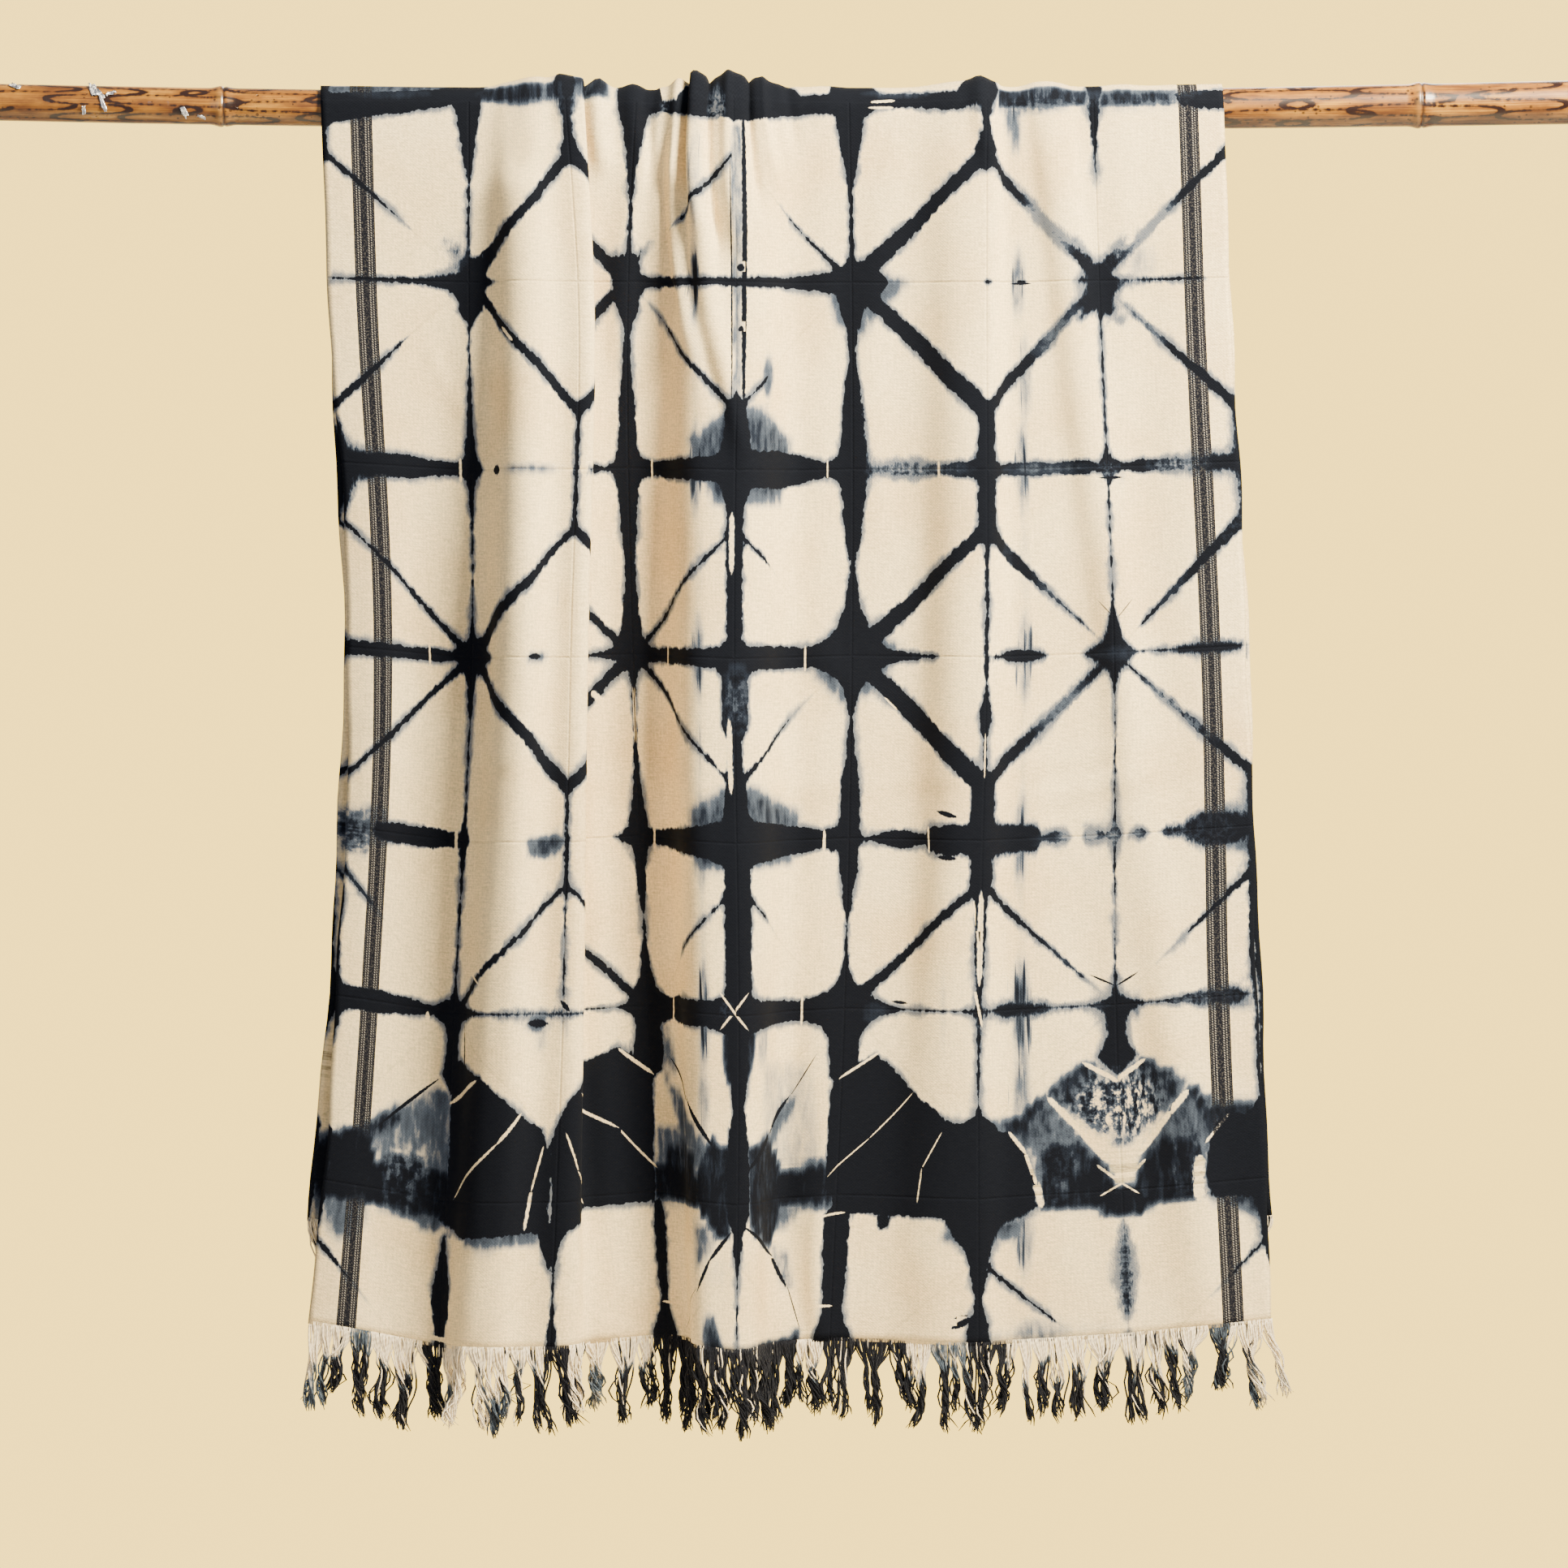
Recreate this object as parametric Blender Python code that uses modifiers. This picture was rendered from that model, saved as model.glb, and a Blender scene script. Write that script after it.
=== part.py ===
"""Shibori dyed cloth hung over a bamboo pole.

One long cloth is laid over a level pole and falls in front of it and behind it.
The folds are the ones of the real cloth: a knife pleat left of the middle, broad
soft folds beside it, small gathers where the cloth is bunched on the pole.

The frame has its origin on the pole's axis at mid length, +X along the pole to
the right, -Y out of the front of the cloth and +Z up. All lengths are metres.
"""

import math

import bpy
import numpy as np

NAME = "shibori_dyed_cloth_on_bamboo_pole"

# The bamboo pole: its radius grows from left to right, and it sags a little
POLE_LENGTH = 1.50
POLE_RADIUS = 0.0169
POLE_TAPER = 0.0016
POLE_FLARE = 0.0012
POLE_SAG = 0.0090
POLE_SIDES = 28
NODE_FIRST = -0.4975
NODE_PITCH = 0.2655
NODE_COUNT = 5
NODE_SWELL = 0.0017
NODE_HALF_WIDTH = 0.013

# The flat cloth, in eight equal panels between nine fold lines
PANELS = 8
PANEL_WIDTH = 0.135
CLOTH_WIDTH = PANELS * PANEL_WIDTH
CLOTH_THICKNESS = 0.0018
FRONT_LENGTH = 1.123
BACK_LENGTH = 1.033
POLE_CLEARANCE = 0.0006
NODE_EASE = 0.0006
FOLD_FLOOR = -0.014
VALLEY_ROUND_POLE = 0.0015
VALLEY_ROUND = 0.014

# Columns and rows of the cloth's grid
COLUMN_COUNT = 84
BEND_PULL = 0.018
ARC_STEPS = 8
FRONT_ROWS = (0.060, 0.105, 0.170, 0.260, 0.370, 0.500, 0.650, 0.810, 0.970)
BACK_ROWS = (0.070, 0.150, 0.280, 0.460, 0.660, 0.850)
SECTION_STEP = 0.001

# Where each fold line lies across the front, by the distance from the pole's top
LINE_STATIONS = (0.0, 0.187, 0.511, 0.835, 1.123)
LINE_PLACES = {
    "line_0": (-0.411, -0.404, -0.386, -0.397, -0.420),
    "line_1": (-0.279, -0.279, -0.276, -0.292, -0.305),
    "line_2": (-0.195, -0.182, -0.188, -0.195, -0.206),
    "line_3": (-0.130, -0.138, -0.134, -0.120, -0.103),
    "line_4": (-0.044, -0.042, -0.044, -0.040, -0.042),
    "line_5": (0.057, 0.060, 0.060, 0.053, 0.040),
    "line_6": (0.179, 0.179, 0.179, 0.172, 0.172),
    "line_7": (0.273, 0.279, 0.292, 0.294, 0.305),
    "line_8": (0.388, 0.395, 0.410, 0.420, 0.433),
}
# The back follows the front at the pole and hangs straighter below it
BACK_SHIFT = {"line_0": -0.012, "line_8": 0.006}

# Each flank of a fold: its middle at the pole and at the hem, counted in panels from
# the left, its half width in panels, and its lean in degrees (rising to the right is
# positive) at the pole, at 0.2 m, at 0.55 m and at the hem
FLANK_STATIONS = (0.0, 0.200, 0.550, 1.123)
FLANKS = {
    #                 at pole  at hem  half   lean
    "left_panel":      (0.50, 0.48, 0.50, (-4, -14, -32, -24)),
    "a_rise":          (1.30, 1.15, 0.30, (52, 52, 60, 58)),
    "a_fall":          (1.76, 1.68, 0.24, (-42, -38, -44, -36)),
    "knife_pleat":     (2.30, 2.30, 0.31, (-150, -158, -142, -78)),
    "pleat_foot":      (2.74, 2.76, 0.26, (-20, -34, -30, -30)),
    "b_rise":          (3.45, 3.40, 0.42, (46, 50, 58, 72)),
    "b_fall":          (4.38, 4.30, 0.40, (-38, -44, -46, -62)),
    "c_rise":          (5.62, 5.55, 0.38, (30, 34, 38, 24)),
    "c_fall":          (6.14, 6.12, 0.17, (-66, -54, -40, -24)),
    "d_rise":          (6.42, 7.45, 0.20, (48, 36, 24, 10)),
    "d_fall":          (6.78, 7.75, 0.24, (-44, -34, -26, -14)),
    "right_panel":     (7.45, 7.30, 0.40, (14, 16, 18, 14)),
}
# The folds' lowest lines, in panels from the left at the pole and at the hem: there
# the cloth lies on the pole
VALLEYS = {
    "left_edge": (0.0, 0.0),
    "left_valley": (1.0, 0.85),
    "pleat_valley": (3.02, 3.02),
    "middle_valley": (5.15, 5.05),
    "right_valley": (6.32, 6.75),
    "right_edge": (8.0, 8.0),
}
# How much of a fold's depth is left where it is pressed over the pole
DEPTH_STATIONS = (0.0, 0.040, 0.110, 0.260, 1.200)
DEPTH_SHARES = (0.30, 0.36, 0.62, 1.00, 1.00)
BACK_DEPTH = 0.62

# Small gathers where the cloth is bunched on the pole
GATHER_FROM = 3.05
GATHER_TO = 4.95
GATHER_WAVES = 4.5
GATHER_LEAN = 44.0
GATHER_REACH = 0.085

# How low the hem hangs at each fold line of the front
HEM_LOW = (-1.075, -1.096, -1.096, -1.087, -1.098, -1.090, -1.094, -1.086, -1.073)

# Fringe: a narrow strip under each hem with its locks of thread
FRINGE_GAP = 0.0006
FRINGE_STRIP = 0.0045
FRINGE_THICKNESS = 0.0016
FRINGE_LENGTH = 0.058
FRINGE_UNEVEN = 0.009
FRINGE_SWING = 0.0035
FRINGE_SPLAY = 0.022
FRINGE_SPLAY_REACH = 0.030
FRONT_SPLIT = 2
BACK_SPLIT = 1
LOCK_EVERY = 2
LOCK_MIDDLE = 0.5
LOCK_TIP = 0.42
FRINGE_SEED = 11


def lobe(distance):
    """Return a soft bump of height 1 and half width 1 around zero."""
    inside = np.clip(np.abs(distance), 0.0, 1.0)
    return np.cos(0.5 * math.pi * inside) ** 2


def along(stations, values, at):
    """Return values read from a smooth curve through a short table."""
    stations = np.asarray(stations, dtype=float)
    values = np.asarray(values, dtype=float)
    at = np.clip(np.asarray(at, dtype=float), stations[0], stations[-1])
    slopes = np.gradient(values, stations)
    left = np.clip(np.searchsorted(stations, at, side="right") - 1, 0, len(stations) - 2)
    span = stations[left + 1] - stations[left]
    share = (at - stations[left]) / span
    square = share * share
    cube = square * share
    return (
        (2.0 * cube - 3.0 * square + 1.0) * values[left]
        + (cube - 2.0 * square + share) * span * slopes[left]
        + (3.0 * square - 2.0 * cube) * values[left + 1]
        + (cube - square) * span * slopes[left + 1]
    )


def pole_radius(x):
    """Return the pole's radius at x, without its node rings."""
    share = x / (0.5 * POLE_LENGTH)
    return POLE_RADIUS + POLE_TAPER * share + POLE_FLARE * share * share


def pole_height(x):
    """Return the height of the pole's axis at x."""
    share = x / (0.5 * POLE_LENGTH)
    return POLE_SAG * share * share


def node_places():
    """Return the x of every node ring of the bamboo."""
    return [NODE_FIRST + NODE_PITCH * count for count in range(NODE_COUNT)]


def node_swell(x, half_width):
    """Return how far the node rings stand out at x."""
    return NODE_SWELL * sum(lobe((x - place) / half_width) for place in node_places())


def section(distance, back):
    """Return the folded section at one distance from the pole's top.

    Gives the flat place across the cloth, x, and the depth of the fold.
    """
    flat = np.arange(0.0, CLOTH_WIDTH + 0.5 * SECTION_STEP, SECTION_STEP)
    panel = flat / PANEL_WIDTH
    fall = min(distance / FRONT_LENGTH, 1.0)
    lean = np.zeros_like(flat)
    for at_pole, at_hem, half, leans in FLANKS.values():
        middle = at_pole + (at_hem - at_pole) * fall
        lean += along(FLANK_STATIONS, leans, distance) * lobe((panel - middle) / half)
    inside = np.clip((panel - GATHER_FROM) / (GATHER_TO - GATHER_FROM), 0.0, 1.0)
    fade = math.exp(-((distance / GATHER_REACH) ** 2))
    waves = np.sin(2.0 * math.pi * GATHER_WAVES * inside) * np.sin(math.pi * inside)
    lean += GATHER_LEAN * fade * waves
    lean = np.radians(lean)

    steps = np.full(len(flat) - 1, SECTION_STEP)
    across = np.concatenate(([0.0], np.cumsum(0.5 * (np.cos(lean[1:]) + np.cos(lean[:-1])) * steps)))
    depth = np.concatenate(([0.0], np.cumsum(0.5 * (np.sin(lean[1:]) + np.sin(lean[:-1])) * steps)))

    lines = np.arange(PANELS + 1)
    places = [float(along(LINE_STATIONS, row, distance)) for row in LINE_PLACES.values()]
    if back:
        shifts = [fall * BACK_SHIFT.get(name, 0.0) for name in LINE_PLACES]
        places = [place + shift for place, shift in zip(places, shifts)]
    raw = np.interp(lines, panel, across)
    x = across + np.interp(panel, lines, np.array(places) - raw)

    valleys = [at_pole + (at_hem - at_pole) * fall for at_pole, at_hem in VALLEYS.values()]
    depth = depth - np.interp(panel, valleys, np.interp(valleys, panel, depth))
    depth = depth * float(along(DEPTH_STATIONS, DEPTH_SHARES, distance))
    if back:
        depth = depth * (1.0 + (BACK_DEPTH - 1.0) * min(distance / DEPTH_STATIONS[3], 1.0))
    hang = min(max(distance - DEPTH_STATIONS[1], 0.0) / (DEPTH_STATIONS[3] - DEPTH_STATIONS[1]), 1.0)
    hang = hang * hang * (3.0 - 2.0 * hang)
    rounding = VALLEY_ROUND_POLE + (VALLEY_ROUND - VALLEY_ROUND_POLE) * hang
    depth = 0.5 * (depth + np.sqrt(depth * depth + rounding * rounding))
    return flat, x, depth + FOLD_FLOOR * hang


def cloth_points(columns, distance, back):
    """Return the cloth's middle surface at one distance from the pole's top."""
    flat, x_all, depth_all = section(abs(distance), back)
    x = np.interp(columns, flat, x_all)
    depth = np.interp(columns, flat, depth_all)
    seat = pole_radius(x) + node_swell(x, 2.0 * NODE_HALF_WIDTH) + NODE_EASE
    seat = seat + POLE_CLEARANCE + 0.5 * CLOTH_THICKNESS
    quarter = 0.5 * math.pi * (POLE_RADIUS + POLE_CLEARANCE + NODE_SWELL)
    turn = 0.5 * math.pi * min(abs(distance) / quarter, 1.0)
    sense = 1.0 if back else -1.0
    y = sense * (seat + depth) * math.sin(turn)
    z = pole_height(x) + (seat + depth) * math.cos(turn)
    below = max(abs(distance) - quarter, 0.0)
    length = BACK_LENGTH if back else FRONT_LENGTH
    share = below / (length - quarter)
    low = np.interp(columns / PANEL_WIDTH, np.arange(PANELS + 1), HEM_LOW)
    low = low + FRONT_LENGTH - length
    return np.column_stack((x, y, z * (1.0 - share) + low * share))


def bend_columns(count):
    """Return columns across the flat cloth, closer together where it bends most."""
    flat = np.arange(0.0, CLOTH_WIDTH + 0.5 * SECTION_STEP, SECTION_STEP)
    bend = np.zeros_like(flat)
    for distance in (0.0, 0.2, 0.5, 0.9):
        _, x, depth = section(distance, False)
        turn = np.unwrap(np.arctan2(np.gradient(depth), np.gradient(x)))
        bend = np.maximum(bend, np.abs(np.gradient(turn, SECTION_STEP)))
    density = 1.0 + BEND_PULL * bend
    total = np.concatenate(([0.0], np.cumsum(0.5 * (density[1:] + density[:-1]))))
    return np.interp(np.linspace(0.0, total[-1], count), total, flat)


def add_object(name, mesh, collection, material):
    """Put a mesh in the collection as a named object with its material."""
    piece = bpy.data.objects.new(name, mesh)
    collection.objects.link(piece)
    mesh.materials.append(material)
    return piece


def add_material(name, colour, roughness):
    """Return a plain material."""
    material = bpy.data.materials.new(name)
    material.use_nodes = True
    shader = material.node_tree.nodes["Principled BSDF"]
    shader.inputs["Base Color"].default_value = (*colour, 1.0)
    shader.inputs["Roughness"].default_value = roughness
    shader.inputs["Metallic"].default_value = 0.0
    return material


def add_thickness(piece, thickness):
    """Give an open sheet its thickness, half to each side."""
    shell = piece.modifiers.new("thickness", "SOLIDIFY")
    shell.thickness = thickness
    shell.offset = 0.0
    shell.use_rim = True


def build_pole(collection, material):
    """Turn the bamboo pole and let it sag a little."""
    half = 0.5 * POLE_LENGTH
    places = {-half, half}
    for middle in node_places():
        for step in (-1.0, -0.5, 0.0, 0.5, 1.0):
            places.add(middle + step * NODE_HALF_WIDTH)
        places.add(middle + 0.5 * NODE_PITCH)
    outline = [(x, float(pole_radius(x) + node_swell(x, NODE_HALF_WIDTH))) for x in sorted(places)]
    profile = [(-half, 0.0), *[point for point in outline if abs(point[0]) <= half], (half, 0.0)]
    mesh = bpy.data.meshes.new("pole_profile")
    edges = [(first, first + 1) for first in range(len(profile) - 1)]
    mesh.from_pydata([(x, 0.0, radius) for x, radius in profile], edges, [])
    turned = add_object("pole", mesh, collection, material)
    screw = turned.modifiers.new("turn", "SCREW")
    screw.axis = "X"
    screw.steps = POLE_SIDES
    screw.render_steps = POLE_SIDES
    screw.use_merge_vertices = True
    screw.merge_threshold = 0.00001
    screw.use_normal_calculate = True
    bpy.context.view_layer.update()
    evaluated = turned.evaluated_get(bpy.context.evaluated_depsgraph_get())
    pole_mesh = bpy.data.meshes.new_from_object(evaluated)
    for vertex in pole_mesh.vertices:
        vertex.co.z += pole_height(vertex.co.x)
    turned.modifiers.clear()
    turned.data = pole_mesh
    bpy.data.meshes.remove(mesh)
    pole_mesh.shade_smooth()
    pole_mesh.set_sharp_from_angle(angle=math.radians(40.0))
    return turned


def build_cloth(collection, material):
    """Loft the cloth's sections from the front hem over the pole to the back hem."""
    columns = bend_columns(COLUMN_COUNT)
    quarter = 0.5 * math.pi * (POLE_RADIUS + POLE_CLEARANCE + NODE_SWELL)
    rows = [(FRONT_LENGTH, False)]
    rows += [(distance, False) for distance in reversed(FRONT_ROWS)]
    for step in range(ARC_STEPS + 1):
        distance = quarter * (1.0 - 2.0 * step / ARC_STEPS)
        rows.append((abs(distance), distance < 0.0))
    rows += [(distance, True) for distance in BACK_ROWS]
    rows.append((BACK_LENGTH, True))
    points = np.vstack([cloth_points(columns, distance, back) for distance, back in rows])
    width = len(columns)
    faces = []
    for row in range(len(rows) - 1):
        for column in range(width - 1):
            corner = row * width + column
            faces.append((corner, corner + 1, corner + width + 1, corner + width))
    mesh = bpy.data.meshes.new("cloth")
    mesh.from_pydata(points.tolist(), [], faces)
    mesh.shade_smooth()
    piece = add_object("cloth", mesh, collection, material)
    add_thickness(piece, CLOTH_THICKNESS)
    return piece


def split_row(row, split):
    """Return a row of points or numbers with more of them on its straight steps."""
    places = np.linspace(0.0, len(row) - 1.0, (len(row) - 1) * split + 1)
    left = np.minimum(places.astype(int), len(row) - 2)
    share = places - left
    share = share.reshape((-1,) + (1,) * (row.ndim - 1))
    return row[left] * (1.0 - share) + row[left + 1] * share


def build_fringe(name, back, collection, material):
    """Hang a row of thread locks from a narrow strip under a hem."""
    chance = np.random.default_rng(FRINGE_SEED + int(back))
    length = BACK_LENGTH if back else FRONT_LENGTH
    split = BACK_SPLIT if back else FRONT_SPLIT
    hem_columns = bend_columns(COLUMN_COUNT)
    upper = split_row(cloth_points(hem_columns, length + FRINGE_GAP, back), split)
    lower = split_row(cloth_points(hem_columns, length + FRINGE_GAP + FRINGE_STRIP, back), split)
    columns = split_row(hem_columns, split)
    width = len(columns)
    points = [tuple(point) for point in np.vstack((lower, upper))]
    faces = [(place, place + 1, place + width + 1, place + width) for place in range(width - 1)]
    firsts = range(0, width - 1, LOCK_EVERY)
    swing = FRINGE_SWING * np.sin(np.cumsum(chance.normal(0.0, 0.7, width)))
    swing += FRINGE_SPLAY * np.exp(-(CLOTH_WIDTH - columns) / FRINGE_SPLAY_REACH)
    swing -= FRINGE_SPLAY * np.exp(-columns / FRINGE_SPLAY_REACH)
    for first in firsts:
        left = lower[first]
        right = lower[first + 1]
        middle = 0.5 * (left + right)
        half = 0.5 * (right - left)
        half[2] = 0.0
        drop = FRINGE_LENGTH + FRINGE_UNEVEN * chance.uniform(-1.0, 1.0)
        before = (first, first + 1)
        for share, narrow in ((LOCK_MIDDLE, 0.5 * (1.0 + LOCK_TIP)), (1.0, LOCK_TIP)):
            centre = middle + np.array((swing[first] * share, 0.0, -drop * share))
            points.append(tuple(centre - narrow * half))
            points.append(tuple(centre + narrow * half))
            here = (len(points) - 2, len(points) - 1)
            faces.append((here[0], here[1], before[1], before[0]))
            before = here
    mesh = bpy.data.meshes.new(name)
    mesh.from_pydata(points, [], faces)
    mesh.shade_smooth()
    piece = add_object(name, mesh, collection, material)
    add_thickness(piece, FRINGE_THICKNESS)
    return piece


def main():
    """Build the cloth, its two fringes and the pole."""
    for piece in list(bpy.data.objects):
        bpy.data.objects.remove(piece, do_unlink=True)
    collection = bpy.data.collections.new(NAME)
    bpy.context.scene.collection.children.link(collection)
    bamboo = add_material("bamboo", (0.42, 0.17, 0.05), 0.35)
    cotton = add_material("dyed_cotton", (0.78, 0.70, 0.56), 0.90)
    thread = add_material("fringe_thread", (0.10, 0.11, 0.13), 0.90)
    build_pole(collection, bamboo)
    build_cloth(collection, cotton)
    build_fringe("fringe_front", False, collection, thread)
    build_fringe("fringe_back", True, collection, thread)


main()
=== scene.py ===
"""Dressed scene: a shibori dyed cotton cloth draped over a bamboo pole.

The cloth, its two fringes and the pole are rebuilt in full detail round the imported
frame. All lengths are metres in the frame of the CAD unless a name or comment says
millimetres: origin on the pole's axis, +X to the right, -Y to the front, +Z up.
"""

import logging
import math
from dataclasses import dataclass
from enum import Enum

import bpy
import numpy as np
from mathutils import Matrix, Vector


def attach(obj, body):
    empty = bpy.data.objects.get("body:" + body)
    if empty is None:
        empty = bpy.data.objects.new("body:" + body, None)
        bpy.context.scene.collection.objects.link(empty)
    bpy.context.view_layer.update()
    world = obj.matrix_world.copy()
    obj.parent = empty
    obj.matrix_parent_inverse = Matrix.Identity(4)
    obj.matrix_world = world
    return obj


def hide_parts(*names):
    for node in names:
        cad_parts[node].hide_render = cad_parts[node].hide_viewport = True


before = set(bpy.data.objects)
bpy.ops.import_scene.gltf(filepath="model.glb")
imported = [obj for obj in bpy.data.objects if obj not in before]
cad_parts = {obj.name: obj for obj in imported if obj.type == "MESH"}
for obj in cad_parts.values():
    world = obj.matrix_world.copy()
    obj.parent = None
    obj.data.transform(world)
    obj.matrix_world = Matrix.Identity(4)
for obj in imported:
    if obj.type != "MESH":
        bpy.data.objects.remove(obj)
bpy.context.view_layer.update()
LOG = logging.getLogger("shibori_cloth")
MM = 0.001


class Side(Enum):
    """The two drops of the cloth."""

    FRONT = "front"
    BACK = "back"


# Flanks of the folds: middle at the pole and at the hem in panels, half width in panels,
# and the lean in degrees at four distances from the pole's top
FLANK_STATIONS = (0.0, 0.200, 0.550, 1.123)
FLANKS = {
    "left_panel": (0.50, 0.48, 0.50, (-4, -14, -32, -24)),
    "a_rise": (1.30, 1.15, 0.30, (52, 52, 60, 58)),
    "a_fall": (1.76, 1.68, 0.24, (-42, -38, -44, -36)),
    "knife_pleat": (2.30, 2.30, 0.31, (-150, -158, -142, -78)),
    "pleat_foot": (2.74, 2.76, 0.26, (-20, -34, -30, -30)),
    "b_rise": (3.45, 3.40, 0.42, (46, 50, 58, 72)),
    "b_fall": (4.38, 4.30, 0.40, (-38, -44, -46, -62)),
    "c_rise": (5.62, 5.55, 0.38, (30, 34, 38, 24)),
    "c_fall": (6.14, 6.12, 0.17, (-66, -54, -40, -24)),
    "d_rise": (6.42, 7.45, 0.20, (48, 36, 24, 10)),
    "d_fall": (6.78, 7.75, 0.24, (-44, -34, -26, -14)),
    "right_panel": (7.45, 7.30, 0.40, (14, 16, 18, 14)),
}
# Lowest lines of the folds, in panels at the pole and at the hem
VALLEYS = ((0.0, 0.0), (1.0, 0.85), (3.02, 3.02), (5.15, 5.05), (6.32, 6.75), (8.0, 8.0))
# Where the nine fold lines lie across, at five distances from the pole's top
LINE_STATIONS = (0.0, 0.187, 0.511, 0.835, 1.123)
LINE_PLACES = (
    (-0.411, -0.404, -0.386, -0.397, -0.420),
    (-0.279, -0.279, -0.276, -0.292, -0.305),
    (-0.195, -0.182, -0.188, -0.195, -0.206),
    (-0.130, -0.138, -0.134, -0.120, -0.103),
    (-0.044, -0.042, -0.044, -0.040, -0.042),
    (0.057, 0.060, 0.060, 0.053, 0.040),
    (0.179, 0.179, 0.179, 0.172, 0.172),
    (0.273, 0.279, 0.292, 0.294, 0.305),
    (0.388, 0.395, 0.410, 0.420, 0.433),
)
BACK_SHIFT = {0: -0.012, 8: 0.006}
DEPTH_STATIONS = (0.0, 0.040, 0.110, 0.260, 1.200)
DEPTH_SHARES = (0.30, 0.36, 0.62, 1.00, 1.00)
HEM_LOW = (-1.075, -1.096, -1.096, -1.087, -1.098, -1.090, -1.094, -1.086, -1.073)
# Soft creases laid on the hung cloth: from and to across and down, half width and
# height, all in millimetres; a trough has a height below zero
CREASES = (
    (208, -34, 204, 90, 34, -8.0),
    (268, -30, 270, 50, 8, 3.0),
    (374, -34, 376, 80, 9, 9.0),
    (404, -30, 406, 60, 8, 4.0),
    (424, -30, 428, 90, 6, -4.0),
    (458, -30, 462, 96, 8, 6.0),
    (476, -30, 482, 110, 5, -6.0),
    (494, -30, 498, 130, 7, 6.5),
    (513, -30, 520, 150, 5, -7.0),
    (537, -34, 542, 150, 11, 8.0),
    (562, -30, 568, 110, 6, -6.5),
    (582, -26, 590, 96, 10, 5.0),
    (612, -26, 616, 60, 8, -3.0),
    (806, -30, 812, 70, 8, 4.5),
    (452, 60, 500, 250, 13, 5.0),
    (470, 62, 528, 300, 8, -4.0),
    (500, 45, 548, 330, 12, 6.0),
    (420, 60, 400, 260, 14, 4.0),
    (440, 58, 470, 210, 7, -3.0),
    (0, 576, 1080, 584, 5, 0.9),
    (0, 588, 1080, 596, 6, -0.7),
    (96, 250, 146, 312, 7, 1.4),
    (860, 640, 1020, 604, 7, 1.5),
    (870, 652, 1060, 622, 6, -1.2),
    (96, 610, 150, 616, 8, 1.2),
    (620, 820, 640, 1110, 16, -3.0),
    (656, 1000, 664, 1118, 10, 3.0),
    (560, 420, 700, 560, 16, 1.6),
    (720, 60, 700, 420, 18, 2.2),
    (780, 700, 760, 1100, 22, 2.0),
    (900, 420, 940, 900, 26, -2.2),
    (150, 120, 170, 460, 20, 1.8),
    (40, 700, 70, 1100, 24, -2.0),
    (330, 1030, 340, 1118, 12, 2.0),
    (108, 925, 112, 1000, 4, 1.0),
)
FRINGE_SEED = 23
# Fringe colours along the hem: up to this place across, dye at the roots and at the tips
FRINGE_DYE = (
    (20, 0.05, 0.55), (44, 0.10, 0.95), (62, 0.55, 1.0), (86, 0.10, 0.95), (104, 0.05, 0.9),
    (118, 0.10, 0.95), (138, 0.90, 1.0), (156, 0.10, 0.55), (196, 0.05, 0.12), (232, 0.05, 0.6),
    (262, 0.15, 1.0), (288, 0.90, 1.0), (318, 0.05, 0.10), (352, 0.05, 0.5), (392, 0.05, 0.8), (
        440, 0.75, 1.0
    ),
    (500, 0.75, 1.0), (560, 0.95, 1.0), (640, 0.8, 1.0), (668, 0.15, 0.85), (745, 0.9, 1.0),
    (770, 0.15, 0.9), (800, 0.5, 1.0), (838, 0.75, 1.0), (905, 0.08, 0.85), (945, 0.25, 0.95),
    (990, 0.3, 1.0), (1000, 0.1, 0.5), (1022, 0.1, 0.6), (1040, 0.6, 0.8), (1055, 0.2, 0.6),
    (1080, 0.05, 0.35),
)


def lobe(distance: np.ndarray) -> np.ndarray:
    """Return a soft bump of height 1 and half width 1 around zero."""
    return np.cos(0.5 * math.pi * np.clip(np.abs(distance), 0.0, 1.0)) ** 2


def along(stations: tuple[float, ...], values: tuple[float, ...], at: float) -> float:
    """Read a smooth curve through a short table.

    Args:
        stations: places of the table, rising.
        values: the value at each place.
        at: the place to read at.

    Returns:
        The value on a cubic Hermite curve.
    """
    places = np.asarray(stations, dtype=float)
    heights = np.asarray(values, dtype=float)
    at = min(max(at, places[0]), places[-1])
    slopes = np.gradient(heights, places)
    left = int(np.clip(np.searchsorted(places, at, side="right") - 1, 0, len(places) - 2))
    span = places[left + 1] - places[left]
    share = (at - places[left]) / span
    square = share * share
    cube = square * share
    return float(
        (2.0 * cube - 3.0 * square + 1.0) * heights[left]
        + (cube - 2.0 * square + share) * span * slopes[left]
        + (3.0 * square - 2.0 * cube) * heights[left + 1]
        + (cube - square) * span * slopes[left + 1]
    )


def smooth_lower(first: np.ndarray, second: np.ndarray, reach: float) -> np.ndarray:
    """Return the lower of two distances with the corner between them rounded."""
    share = np.clip(reach - np.abs(first - second), 0.0, None) / reach
    return np.minimum(first, second) - share * share * reach * 0.25


def along_stroke(
    across: np.ndarray, down: np.ndarray, centre: tuple[float, float], run: np.ndarray
) -> tuple[np.ndarray, np.ndarray]:
    """Read places on the flat cloth in a stroke's own directions.

    Args:
        across: flat places across.
        down: distances from the pole's top.
        centre: the stroke's middle.
        run: unit vector along the stroke.

    Returns:
        The places across and along the stroke in millimetres.
    """
    across, down = across - centre[0], down - centre[1]
    return across * run[1] - down * run[0], across * run[0] + down * run[1]


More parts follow.
